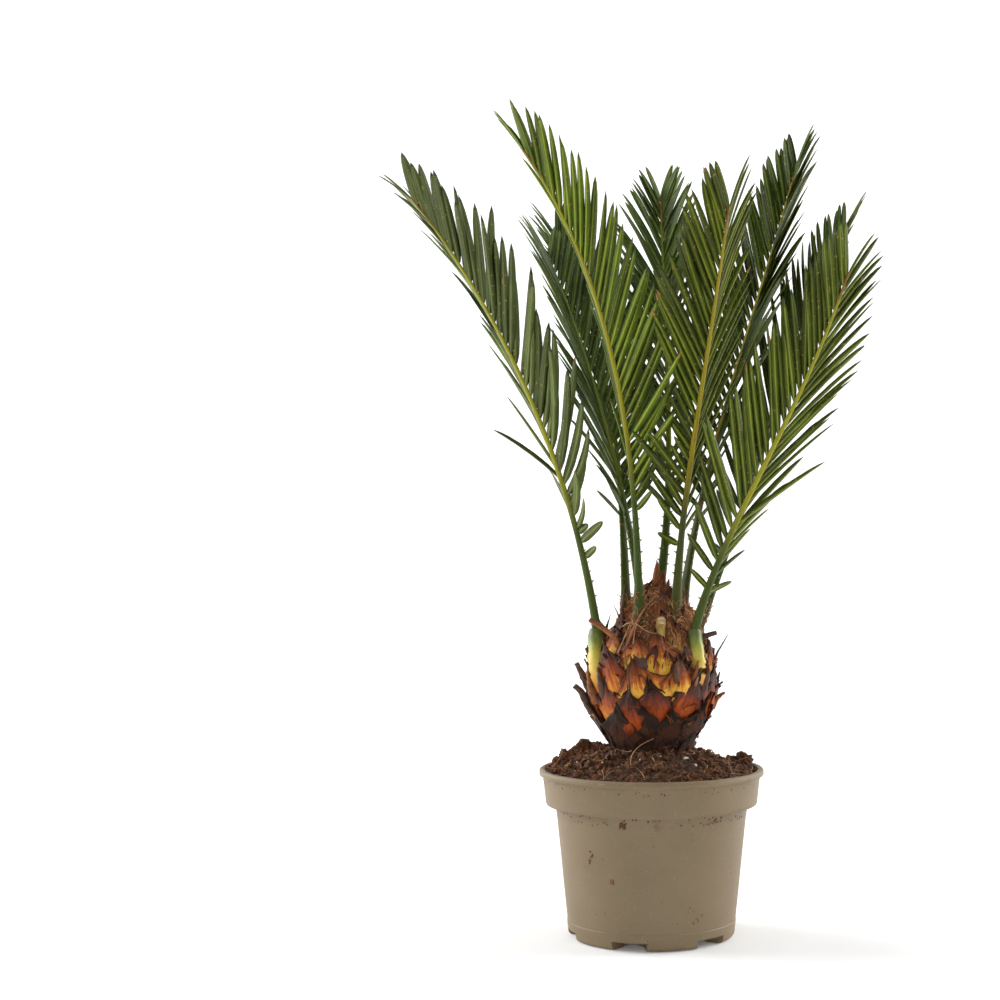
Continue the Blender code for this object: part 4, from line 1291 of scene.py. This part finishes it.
# The fronds that show most come first, because a leaflet gives way to those placed before it
FRONDS = (
    Frond("frond_front_left", (-8, -20, 208), (-80, -95, 506), (89, -137), (51, -155), roll=12, bare=0.23, green="bright", rib="olive"),
    Frond("frond_front", (16, -18, 208), (47, -115, 467), (88, -65), (62, -77), roll=-18, bare=0.21, green="olive", rib="gold"),
    # Above 0.42 of its blade, the leaflets of one side of this frond are drawn in the darker tint, as painted shade
    Frond("frond_left", (-34, -8, 185), (-157, -29, 487), (84, -170), (51, -174), roll=-30, green="grey", rib="pale_foot", broad=(0.9, 1.2), shaded_above=0.42, bent_below=0.35, unruly=1.9),
    Frond("frond_front_right", (25, -20, 187), (122, -90, 430), (78, -43), (70, -34), roll=30, bare=0.2, green="fresh", rib="pale_foot"),
    Frond("frond_rear_right", (20, 14, 205), (106, 100, 537), (83, 49), (67, 50), bare=0.23, green="moss", rib="gold", broad=(1.35, 1.0)),
    Frond("frond_right", (31, 4, 205), (137, 65, 482), (66, 15), (57, 43), bare=0.2, green="deep", rib="lime", broad=(0.8, 0.8)),
    Frond("frond_rear", (2, 20, 210), (7, 135, 518), (72, 50), (60, 91), bare=0.24, green="deep", rib="lime"),
    Frond("frond_rear_left", (-17, 22, 206), (-70, 112, 486), (88, 137), (58, 144), bare=0.24, green="deep", rib="lime", broad=(0.85, 0.85)),
    Frond("frond_far_left", (-6, 8, 212), (-76, 78, 470), (82, 133), (45, 116), bare=0.24, green="deep", rib="lime", broad=(0.85, 0.85)),
)


def rib_tree():
    """A channelled tube whose sections stand on the guide's points, by their side, face and half width."""
    tree, given = shape_tree(
        "rib along its stations",
        (("Round", "Int", 12), ("Depth", "Float", 0.8), ("Channel", "Float", 0.3), ("Finish", "Material", None)),
    )
    count = wire(tree, "GeometryNodeAttributeDomainSize", {0: given["Guide"]}, component="MESH").outputs["Point Count"]
    row = maths(tree, "ADD", given["Round"], 1.0)
    sheet = wire(tree, "GeometryNodeMeshGrid", {"Vertices X": count, "Vertices Y": row})
    index = wire(tree, "GeometryNodeInputIndex").outputs[0]
    ring = maths(tree, "FLOOR", maths(tree, "DIVIDE", maths(tree, "ADD", index, 0.5), row))
    around = maths(tree, "SUBTRACT", index, maths(tree, "MULTIPLY", ring, row))
    angle = maths(tree, "DIVIDE", maths(tree, "MULTIPLY", around, 2 * math.pi), given["Round"])

    def sampled(label, kind):
        if label:
            value = wire(tree, "GeometryNodeInputNamedAttribute", {0: label}, data_type=kind).outputs[0]
        else:
            value = wire(tree, "GeometryNodeInputPosition").outputs[0]
        inputs = {"Geometry": given["Guide"], "Value": value, "Index": ring}
        return wire(tree, "GeometryNodeSampleIndex", inputs, data_type=kind).outputs[0]

    def scaled(vector, amount):
        return wire(tree, "ShaderNodeVectorMath", {0: vector, "Scale": amount}, operation="SCALE").outputs[0]

    def added(a, b):
        return wire(tree, "ShaderNodeVectorMath", {0: a, 1: b}, operation="ADD").outputs[0]

    half = sampled("half_width", "FLOAT")
    sine = maths(tree, "SINE", angle)
    upper = maths(tree, "MAXIMUM", sine, 0.0)
    hollow = maths(tree, "MULTIPLY", maths(tree, "POWER", upper, 3.0), given["Channel"])
    deep = maths(tree, "MULTIPLY", maths(tree, "SUBTRACT", sine, hollow), given["Depth"])
    sideways = scaled(sampled("side", "FLOAT_VECTOR"), maths(tree, "MULTIPLY", half, maths(tree, "COSINE", angle)))
    outward = scaled(sampled("face", "FLOAT_VECTOR"), maths(tree, "MULTIPLY", half, deep))
    place = added(sampled(None, "FLOAT_VECTOR"), added(sideways, outward))
    shaped = wire(tree, "GeometryNodeSetPosition", {"Geometry": sheet.outputs["Mesh"], "Position": place}).outputs[0]
    mapped = wire(
        tree,
        "GeometryNodeStoreNamedAttribute",
        {"Geometry": shaped, "Name": "UVMap", "Value": sheet.outputs["UV Map"]},
        data_type="FLOAT2",
        domain="CORNER",
    ).outputs[0]
    closed = wire(tree, "GeometryNodeMergeByDistance", {"Geometry": mapped, "Distance": 0.005 * MM}).outputs[0]
    whole = wire(tree, "GeometryNodeRealizeInstances", {0: closed}).outputs[0]
    painted = wire(tree, "GeometryNodeSetMaterial", {"Geometry": whole, "Material": given["Finish"]}).outputs[0]
    end_tree(tree, painted)
    return tree


def rib_finish(name, foot, stalk, rib, tip=(0.22, 0.085, 0.022)):
    """Colours up the stalk and rib, with fine lengthwise lines and a few tan specks."""
    made, tree, shader = finish(name, 0.48)
    shader.inputs["Specular IOR Level"].default_value = 0.18
    uv = wire(tree, "ShaderNodeSeparateXYZ", {0: wire(tree, "ShaderNodeUVMap", uv_map="UVMap").outputs[0]}).outputs
    drift = maths(tree, "MULTIPLY", maths(tree, "SUBTRACT", grain(tree, 60.0, 3.0), 0.5), 0.05)
    up = maths(tree, "ADD", uv[0], drift)
    stops = ((0.0, foot), (0.025, foot), (0.06, stalk), (0.26, stalk), (0.42, rib), (0.9, rib), (0.97, tip))
    colour = ramp(tree, up, stops)
    lines = grain(tree, 900.0, 3.0, (1.0, 1.0, 0.06))
    lined = blended(tree, maths(tree, "MULTIPLY", lines, 0.4), colour, tuple(c * 0.5 for c in stalk))
    scabs = shares(tree, grain(tree, 170.0, 3.0, sharp=0.65), 0.665, 0.7)
    scabbed = blended(tree, maths(tree, "MULTIPLY", scabs, 0.8), lined, (0.2, 0.08, 0.025))
    specks = shares(tree, grain(tree, 420.0, 2.0), 0.7, 0.76)
    specked = blended(tree, specks, scabbed, (0.34, 0.2, 0.06))
    tree.links.new(specked, shader.inputs["Base Color"])
    bumped(tree, shader, lines, 0.12 * MM)
    return made


RIB_FINISHES = {
    "olive": rib_finish("rib_olive", (0.07, 0.045, 0.015), (0.045, 0.075, 0.007), (0.3, 0.27, 0.012)),
    "gold": rib_finish("rib_gold", (0.08, 0.05, 0.016), (0.055, 0.068, 0.01), (0.34, 0.26, 0.01)),
    "lime": rib_finish("rib_lime", (0.07, 0.05, 0.015), (0.045, 0.072, 0.008), (0.22, 0.25, 0.025)),
    "pale_foot": rib_finish("rib_pale_foot", (0.065, 0.09, 0.012), (0.055, 0.082, 0.009), (0.34, 0.32, 0.02)),
}


def rib_guide(frond):
    """The rib's stations, with one of no width at each end, which closes the tube."""
    last = len(frond.stations) - 1
    ends = [(0, 0.0), (last, 0.0)]
    rows = [ends[0], *((k, frond.half_width(k / last)) for k in range(last + 1)), ends[1]]
    places = [frond.stations[k][0] for k, half in rows]
    vectors = {"side": [frond.stations[k][2] for k, half in rows], "face": [frond.stations[k][3] for k, half in rows]}
    return guide_points(f"{frond.name}_line", places, vectors, {"half_width": [half for k, half in rows]})


def spine_shape(name, seed):
    """A short spine that leans up the stalk."""
    points = [(0.0, -0.35, -0.25), (0.0, 0.35, -0.25), (0.0, 0.0, 0.35), (1.0, 0.35 + 0.15 * seed, 0.08)]
    faces = [(0, 2, 1), (0, 1, 3), (1, 2, 3), (2, 0, 3)]
    return patterned(name, points, faces, [0] * 4, [(0.5, 0.5)] * 4)


def stalk_spines():
    deal = random.Random(4)
    made = Places()
    for frond in FRONDS:
        count = int((frond.bare - SPINES_FROM + 0.03) * frond.length / SPINE_PITCH)
        for k in range(count):
            for hand in (1, -1):
                share = SPINES_FROM + (k + deal.uniform(-0.2, 0.2) + 0.25 * hand) * SPINE_PITCH / frond.length
                place, along, side, face = frond.at(share)
                out = (side * hand + face * 0.35).normalized()
                size = deal.uniform(2.0, 3.3) * MM
                foot = place + side * hand * frond.half_width(share) * 0.88 + face * 0.4 * MM
                made.add(foot, out, along, (size, size * 0.9, size * 0.55), deal.randrange(2))
    return made


rib_along = rib_tree()
for frond in FRONDS:
    stalk = grown(f"{frond.name}_rib", rib_guide(frond), rib_along, {"Finish": RIB_FINISHES[frond.rib]})
    face_outwards(stalk)
    smooth(stalk)
    carried(stalk, [frond.name])

stalk_feet = []
for frond in FRONDS:
    if frond.rib == "pale_foot":
        continue
    foot = (frond.seat + frond.leaves * 3 * MM) / MM
    middle, root = foot - frond.leaves * 11.0, foot - frond.leaves * 22.0
    middle, root = [p + Vector((4.5 - p.x, -p.y, 0.0)) * share for p, share in ((middle, 0.1), (root, 0.35))]
    stalk_feet.append(horn(f"{frond.name}_foot", [root, middle, foot], 4.8, 0.9, felt_brown, 12))
stalk_feet = merged("stalk_feet", stalk_feet)
smooth(stalk_feet)
carried(stalk_feet, ["caudex"])

spine_yellow = peat_finish("spine_yellow", (0.2, 0.16, 0.03), (0.5, 0.42, 0.1), 0.5, 300.0)
spine_box = shape_box("spine_shapes", [spine_shape(f"spine_{k}", k) for k in range(2)])
spines = grown(
    "stalk_spines",
    stalk_spines().guide("spine_places"),
    set_out_tree("spines set on the stalks", ("Spine",), 1),
    {"Shapes": spine_box, "Spine": spine_yellow},
)
empty_box(spine_box)
carried(spines, [frond.name for frond in FRONDS])

# FELT. Soft brown fibres that cover the crown between the stalks and climb their feet, laid upwards and
# tangled, with paler strands and a few thin pale roots across them.
FELT_THREADS = 4600
FOOT_THREADS = 70
CROWN_THREADS = 900
CROWN_ROOTS = (
    ((-19.0, -30.0, 207.0), (-15.0, -35.0, 209.5), (-10.0, -36.0, 209.0), (-4.0, -38.0, 205.0), (2.0, -37.0, 203.0), (7.0, -34.0, 204.0)),
    ((-12.0, -36.0, 196.0), (-10.0, -34.0, 208.0), (-5.0, -32.0, 218.0), (3.0, -30.0, 227.0)),
    ((-22.0, -32.0, 190.0), (-16.0, -34.0, 204.0), (-11.0, -30.0, 217.0)),
    ((-15.0, 33.0, 199.0), (-6.0, 35.0, 203.0), (4.0, 36.0, 200.0)),
)


def felt_places():
    """Strands over the top of the bulb, round the feet of the stalks, and up between them."""
    deal = random.Random(17)
    made = Places()
    for k in range(FELT_THREADS):
        share = 1.0 - 0.36 * deal.random() ** 1.5
        place, around, up, out = caudex_frame(share, deal.uniform(0.0, 2 * math.pi))
        astray = deal.gauss(0.0, 0.55)
        strand = leaned(up, out, deal.gauss(0.06, 0.2)) * math.cos(astray) + around * math.sin(astray)
        size = deal.uniform(0.5, 1.5)
        made.add(place + out * deal.uniform(-1.5, 2.6) * MM, strand.normalized(), around, (size,) * 3, deal.randrange(5), float(deal.random() < 0.3))
    for frond in FRONDS:
        for k in range(FOOT_THREADS):
            share = 0.07 * deal.random() ** 1.3
            place, along, side, face = frond.at(share)
            turn = deal.uniform(0.0, 2 * math.pi)
            out = side * math.cos(turn) + face * math.sin(turn)
            strand = (along + out * deal.uniform(-0.04, 0.06) + out.cross(along) * deal.gauss(0.0, 0.2)).normalized()
            size = deal.uniform(0.4, 0.9)
            foot = place + out * (frond.half_width(share) * 0.9 + deal.uniform(0.0, 0.5) * MM)
            made.add(foot, strand, out.cross(along), (size,) * 3, deal.randrange(5), float(deal.random() < 0.2))
    for k in range(CROWN_THREADS):
        turn, away = deal.uniform(0.0, 2 * math.pi), 19.0 * deal.random() ** 0.6
        place = Vector((4.5 + away * math.cos(turn), away * math.sin(turn), 235.0 - 0.9 * away + deal.uniform(-9.0, 3.0))) * MM
        strand = Vector((deal.gauss(0.0, 0.3), deal.gauss(0.0, 0.3), 1.0)).normalized()
        made.add(place, strand, Vector((-math.sin(turn), math.cos(turn), 0.0)), (deal.uniform(0.6, 1.4),) * 3, deal.randrange(5), float(deal.random() < 0.3))
    return made


felt_strand = peat_finish("felt_strand", (0.1, 0.036, 0.013), (0.32, 0.12, 0.042), 0.9, 200.0)
felt_pale = peat_finish("felt_strand_pale", (0.26, 0.12, 0.05), (0.55, 0.3, 0.13), 0.9, 200.0)
strand_box = shape_box("strand_shapes", [fibre(f"strand_{k}", 70 + k, 10.0, 0.8, 0.34) for k in range(5)])
felt_labels = ("Brown strand", "Pale strand")
felt = grown(
    "crown_felt",
    felt_places().guide("felt_places"),
    set_out_tree("felt laid on the crown", felt_labels, 1),
    {"Shapes": strand_box, "Brown strand": felt_strand, "Pale strand": felt_pale},
)
empty_box(strand_box)
crown_roots = []
for k, places in enumerate(CROWN_ROOTS):
    root = thread(f"crown_root_{k}", smooth_path(places, 26), 0.35 * MM, 5, 0.5)
    root.data.materials.append(root_pale)
    crown_roots.append(root)
crown_roots = merged("crown_roots", crown_roots)
for piece in (felt, crown_roots):
    smooth(piece, 60.0)
    carried(piece, ["caudex"])

# LEAFLETS. Stiff narrow blades in two rows along each rib, raised into a shallow V and swept towards its
# tip. Each is channelled along a pale midrib, glossy green above and duller grey-green underneath, and
# ends in a sharp point that has dried tan here and there.
LEAFLET_PITCH = 7.7 * MM
LEAFLET_LENGTH = 77.0 * MM
LEAFLET_WIDTH = 5.0 * MM
SPREAD_AT_FOOT = math.radians(50.0)
SPREAD_AT_TIP = math.radians(21.0)
SPREAD_POWER = 0.5
KEEP_CLEAR = 0.35 * MM
# Bent leaflets lean towards the frond's tip by this many times their width
BEND = 1.6
UPPER, MIDRIB, UNDER, RIDGE, DRIED = range(5)
SMALL_BLADES = (
    # Frond, share of its rib, side, length and width in millimetres
    ("frond_left", 0.205, -1, 12.0, 5.0),
    ("frond_left", 0.237, -1, 23.0, 6.0),
    ("frond_left", 0.256, -1, 10.0, 5.0),
    ("frond_front_right", 0.165, -1, 20.0, 5.0),
    ("frond_front_right", 0.18, 1, 16.0, 4.0),
    ("frond_front", 0.19, 1, 17.0, 4.5),
    ("frond_rear_right", 0.21, 1, 15.0, 4.5),
    ("frond_right", 0.17, -1, 15.0, 4.0),
)


def leaflet_shape(name, seed, bend=0.0):
    """A blade one unit long and wide: folded along its midrib, which shows on both faces, and sagging.

    It bends sideways by the share of its width that bend gives.
    """
    steps = (0.0, 0.03, 0.1, 0.25, 0.45, 0.65, 0.82, 0.93, 1.0)
    widths = (0.36, 0.52, 0.84, 1.0, 1.0, 0.92, 0.74, 0.46, 0.04)
    deal = random.Random(seed)
    twist = deal.uniform(-0.5, 0.5)
    sweep = bend + deal.uniform(-0.25, 0.25)
    sag = deal.uniform(0.045, 0.085)
    points, faces, parts, uvs = [], [], [], []
    for s, w in zip(steps, widths):
        fold = 0.017 * w
        strip = 0.075 * min(1.0, w * 1.5)
        keel = 0.0075 * (1.0 - 0.5 * s)
        section = ((-0.5 * w, fold), (-strip, 0.002), (strip, 0.002), (0.5 * w, fold), (strip, -keel), (-strip, -keel))
        for y, z in section:
            points.append((s, y + sweep * s**2, z - sag * s**2 + y * twist * s * 0.06))
            uvs.append((y + 0.5, s))
    last = len(steps) - 1
    for r in range(last):
        for i, part in enumerate((UPPER, MIDRIB, UPPER, UNDER, RIDGE, UNDER)):
            a, b = r * 6 + i, r * 6 + (i + 1) % 6
            faces.append((a, b, b + 6, a + 6))
            parts.append(DRIED if r == last - 1 else part)
    faces += [(5, 4, 3, 2, 1, 0), tuple(range(last * 6, last * 6 + 6))]
    parts += [UNDER, DRIED]
    return patterned(name, points, faces, parts, uvs)


def leaflet_frame(frond, station, hand, share):
    """The leaflet's direction, the direction across it, and its length, by the rule of the solids."""
    along, side, face = station[1:]
    spread = SPREAD_AT_FOOT + (SPREAD_AT_TIP - SPREAD_AT_FOOT) * share**SPREAD_POWER
    outwards = side * hand * math.cos(frond.valley) + face * math.sin(frond.valley)
    axis = along * math.cos(spread) + outwards * math.sin(spread)
    across = (along - axis * along.dot(axis)).normalized()
    length = LEAFLET_LENGTH * min(1.0, 0.3 + 4.0 * share) * (1.0 - 0.58 * share**4)
    return axis, across, length


def leaflet_space(root, axis, across, normal, length, width, bend):
    """The space one blade takes, as a closed shape a little larger than life."""
    half, thick = width / 2 + KEEP_CLEAR, 0.4 * MM + KEEP_CLEAR
    droop = normal * length * -0.07
    corners = ((-1, 1), (-1, -1), (1, -1), (1, 1))
    points = []
    for reach, share in ((0.06, 0.5), (0.45, 1.0), (0.8, 0.7)):
        middle = root + axis * length * reach + (droop + across * bend) * reach**2
        points += [middle + across * half * share * a + normal * thick * b for a, b in corners]
    points.append(root + axis * length + droop + across * bend)
    faces = [(0, 1, 2, 3)]
    for ring in (0, 4):
        faces += [(ring + i, ring + (i + 1) % 4, ring + 4 + (i + 1) % 4, ring + 4 + i) for i in range(4)]
    faces += [(8 + i, 8 + (i + 1) % 4, 12) for i in range(4)]
    return points, faces


def rib_space(frond):
    points, faces = [], []
    last = len(frond.stations) - 1
    for k, (place, along, side, face) in enumerate(frond.stations):
        half = frond.half_width(k / last)
        corners = ((1, 1), (1, -1), (-1, -1), (-1, 1))
        points += [place + side * half * a + face * half * 0.8 * b for a, b in corners]
    for k in range(last):
        faces += [(4 * k + i, 4 * k + (i + 1) % 4, 4 * k + 4 + (i + 1) % 4, 4 * k + 4 + i) for i in range(4)]
    return BVHTree.FromPolygons(points, faces)


def leaflet_places(frond, taken, seed):
    """Where each blade of a frond goes, shortened until it is clear of what other fronds have taken."""
    deal = random.Random(seed)
    made = Places()
    space_points, space_faces = [], []
    count = round(frond.length * (1.0 - frond.bare) / LEAFLET_PITCH)
    for k in range(count):
        for hand in (1, -1):
            share = (k + 0.5 + 0.22 * hand + deal.uniform(-0.1, 0.1)) / count
            up_rib = frond.bare + share * (1.0 - frond.bare)
            place, along, side, face = frond.at(up_rib)
            axis, across, length = leaflet_frame(frond, (place, along, side, face), hand, share)
            astray = frond.unruly * (0.03 + 0.08 * max(0.0, 1.0 - share / 0.3))
            axis = (axis + across * deal.gauss(0.0, astray) + axis.cross(across) * deal.gauss(0.0, astray)).normalized()
            across = (across - axis * across.dot(axis)).normalized() * hand
            normal = axis.cross(across)
            tipping = deal.gauss(0.0, 0.2) * frond.unruly
            across = (across * math.cos(tipping) + normal * math.sin(tipping)).normalized()
            normal = axis.cross(across)
            length *= deal.uniform(1.0 - 0.09 * frond.unruly, 1.02)
            root = place + side * hand * frond.half_width(up_rib) * 0.7
            broad = frond.broad[hand < 0]
            curved = share < frond.bent_below * deal.uniform(0.6, 1.2)
            bend = BEND if curved else 0.0
            for shorter in (1.0, 0.9, 0.8, 0.7, 0.6, 0.45, 0.3):
                width = LEAFLET_WIDTH * broad * min(1.0, 0.5 + length * shorter / LEAFLET_LENGTH)
                space = leaflet_space(root, axis, across, normal, length * shorter, width, bend * hand * width)
                tree = BVHTree.FromPolygons(*space)
                if not any(tree.overlap(other) for other in taken):
                    break
            else:
                continue
            first = len(space_points)
            space_points += space[0]
            space_faces += [tuple(first + i for i in corners) for corners in space[1]]
            long = length * shorter
            # Tint 1 is painted shade: a darker copy of the green at 0.62, given to about three leaflets in ten. Tint 2
            # is a little lighter and has dried tan tips
            chance = deal.random()
            tint = 2.0 if chance < 0.08 else 1.0 if chance < 0.38 else 0.0
            # Above that share, one side's leaflets take the darker tint: painted shade, not a darker green
            if frond.shaded_above and hand < 0 and share > frond.shaded_above:
                tint = 1.0
            family = 0 if not curved else 1 if hand > 0 else 2
            made.add(root, axis, across, (long, width, long), 6 * family + deal.randrange(6), tint)
    for name, up_rib, hand, long, wide in SMALL_BLADES:
        if name == frond.name:
            place, along, side, face = frond.at(up_rib)
            axis = (side * hand * 0.8 + face * 0.35 + along * 0.45).normalized()
            root = place + side * hand * frond.half_width(up_rib) * 0.7
            made.add(root, axis, along * hand, (long * MM, wide * MM, long * MM), deal.randrange(6), 0.0)
    taken.append(BVHTree.FromPolygons(space_points, space_faces))
    return made


def leaf_finish(name, colour, roughness, lines=0.3):
    """Leaf skin: a plain green, a little mottled, with fine veins along the blade and tan specks."""
    made, tree, shader = finish(name, roughness)
    shader.inputs["Specular IOR Level"].default_value = 0.18
    uv = wire(tree, "ShaderNodeUVMap", uv_map="UVMap").outputs[0]
    stretched = wire(tree, "ShaderNodeMapping", {"Vector": uv, "Scale": (26.0, 1.5, 1.0)}).outputs[0]
    veins = wire(tree, "ShaderNodeTexNoise", {"Vector": stretched, "Scale": 1.0, "Detail": 1.0}).outputs["Fac"]
    dull, light = tuple(c * 0.8 for c in colour), tuple(c * 1.18 for c in colour)
    mottled = blended(tree, shares(tree, grain(tree, 45.0, 1.0), 0.3, 0.7), dull, light)
    vein_share = maths(tree, "MULTIPLY", shares(tree, veins, 0.4, 0.7), lines)
    veined = blended(tree, vein_share, mottled, tuple(c * 0.45 for c in colour))
    specks = shares(tree, grain(tree, 520.0, 0.0), 0.735, 0.77)
    specked = blended(tree, maths(tree, "MULTIPLY", specks, 0.7), veined, (0.3, 0.2, 0.06))
    tree.links.new(specked, shader.inputs["Base Color"])
    bumped(tree, shader, veins, 0.1 * MM, 0.7)
    return made


# Upper skin, upper midrib, underside, and the ridge of the midrib under it
LEAF_GREENS = {
    "bright": ((0.075, 0.12, 0.008), (0.2, 0.24, 0.02), (0.095, 0.145, 0.008), (0.26, 0.3, 0.025)),
    "olive": ((0.045, 0.07, 0.003), (0.14, 0.16, 0.01), (0.06, 0.088, 0.003), (0.17, 0.18, 0.012)),
    "moss": ((0.045, 0.075, 0.005), (0.15, 0.18, 0.015), (0.075, 0.1, 0.006), (0.17, 0.19, 0.018)),
    "fresh": ((0.06, 0.095, 0.009), (0.15, 0.19, 0.02), (0.08, 0.11, 0.009), (0.2, 0.24, 0.03)),
    "grey": ((0.055, 0.085, 0.018), (0.12, 0.15, 0.03), (0.12, 0.155, 0.04), (0.22, 0.26, 0.09)),
    "deep": ((0.08, 0.125, 0.022), (0.17, 0.22, 0.04), (0.11, 0.15, 0.028), (0.2, 0.24, 0.05)),
}
DRIED_TAN = (0.3, 0.16, 0.05)


def green_set(label):
    """The finishes of one green, in the order in which the tree numbers them: three tints (plain, a darker copy that is
    painted shade, and tan tipped), five parts.
    """
    dried = leaf_finish(f"leaf_{label}_dry_tip", DRIED_TAN, 0.7)
    made = []
    # The second tint is painted shade: the same greens at 0.62 of their colour
    for tint, light in enumerate((1.0, 0.62, 1.12)):
        skins = []
        for part, roughness, colour in zip(("upper", "midrib", "under", "ridge"), (0.42, 0.45, 0.5, 0.5), LEAF_GREENS[label]):
            skins.append(leaf_finish(f"leaf_{label}_{part}_{tint}", tuple(c * light for c in colour), roughness))
        made += [*skins, dried if tint == 2 else skins[0]]
    return made


leaflet_parts = ("Upper", "Midrib", "Under", "Ridge", "Tip")
leaflet_labels = [f"{part} {tint}" for tint in ("plain", "shaded", "tan tipped") for part in leaflet_parts]
leaflet_tree = set_out_tree("leaflets set along a rib", leaflet_labels, len(leaflet_parts))
leaflet_kinds = [(6 * family + k, k, bend) for family, bend in enumerate((0.0, BEND, -BEND)) for k in range(6)]
leaflet_box = shape_box("leaflet_shapes", [leaflet_shape(f"leaflet_{number:02d}", k, bend) for number, k, bend in leaflet_kinds])
greens = {label: green_set(label) for label in LEAF_GREENS}
rib_spaces = {frond.name: rib_space(frond) for frond in FRONDS}
placed_before = []
for order, frond in enumerate(FRONDS):
    taken = [space for name, space in rib_spaces.items() if name != frond.name] + placed_before
    guide = leaflet_places(frond, taken, 30 + order).guide(f"{frond.name}_places")
    placed_before.append(taken[-1])
    values = {"Shapes": leaflet_box, **dict(zip(leaflet_labels, greens[frond.green]))}
    blades = grown(f"{frond.name}_leaflets", guide, leaflet_tree, values)
    carried(blades, [frond.name])
empty_box(leaflet_box)

# STUDIO. A seamless pale sweep under and round the plant, lit by large soft panels at both sides and
# above, seen from a little above the pot as the photograph is.
SWEEP = ((0.0, 0.0), (1.6, 0.0), (2.2, 0.06), (2.7, 0.3), (3.0, 0.8), (3.1, 1.5), (3.1, 3.0))


def studio_sweep():
    points, faces = [(0.0, 0.0, -0.0002)], []
    sides = 96
    for radius, height in SWEEP[1:]:
        for i in range(sides):
            angle = 2 * math.pi * i / sides
            points.append((radius * math.cos(angle), radius * math.sin(angle), height - 0.0002))
    for i in range(sides):
        j = (i + 1) % sides
        faces.append((0, 1 + i, 1 + j))
        for ring in range(len(SWEEP) - 2):
            low = 1 + ring * sides
            faces.append((low + i, low + sides + i, low + sides + j, low + j))
    mesh = bpy.data.meshes.new("studio_sweep")
    mesh.from_pydata(points, [], faces)
    mesh.shade_smooth()
    made, tree, shader = finish("studio_paper", 0.9)
    paper = ramp(tree, grain(tree, 6.0, 0.0), ((0.0, (0.86, 0.86, 0.86)), (1.0, (0.88, 0.88, 0.88))))
    tree.links.new(paper, shader.inputs["Base Color"])
    tree.links.new(paper, shader.inputs["Emission Color"])
    depth = wire(tree, "ShaderNodeSeparateXYZ", {0: wire(tree, "ShaderNodeTexCoord").outputs["Object"]}).outputs[1]
    behind = maths(tree, "MULTIPLY", shares(tree, depth, 0.3, 2.0), 0.5)
    tree.links.new(maths(tree, "ADD", behind, 0.1), shader.inputs["Emission Strength"])
    made.cycles.emission_sampling = "NONE"
    mesh.materials.append(made)
    return object_of("studio_sweep", mesh)


def panel(name, place, target, size, power):
    light = bpy.data.lights.new(name, "AREA")
    light.shape = "RECTANGLE"
    light.size, light.size_y = size
    light.energy = power
    obj = object_of(name, light)
    obj.location = place
    obj.rotation_euler = (Vector(target) - Vector(place)).to_track_quat("-Z", "Y").to_euler()
    obj.visible_camera = False
    return obj


studio_sweep()
panel("panel_left", (-1.5, 0.45, 1.0), (0.0, 0.0, 0.3), (1.4, 1.6), 40.0)
panel("panel_right", (1.5, 0.5, 0.95), (0.0, 0.0, 0.3), (1.3, 1.6), 32.0)
panel("panel_top", (0.0, 0.1, 2.0), (0.0, 0.0, 0.3), (1.6, 1.6), 5.0)
world = bpy.data.worlds.new("studio_world")
world.use_nodes = True
world.node_tree.nodes["Background"].inputs["Color"].default_value = (1.0, 1.0, 1.0, 1.0)
world.node_tree.nodes["Background"].inputs["Strength"].default_value = 0.09
bpy.context.scene.world = world
bpy.context.scene.view_settings.view_transform = "Standard"

camera = bpy.data.cameras.new("camera")
camera.sensor_width = 36.0
camera.lens = 64.4
camera.shift_x = -0.1515
camera.shift_y = 0.03
camera_object = object_of("camera", camera)
camera_object.location = (0.0, -1.198, 0.27)
camera_object.rotation_euler = (math.radians(90.0), 0.0, 0.0)
bpy.context.scene.camera = camera_object
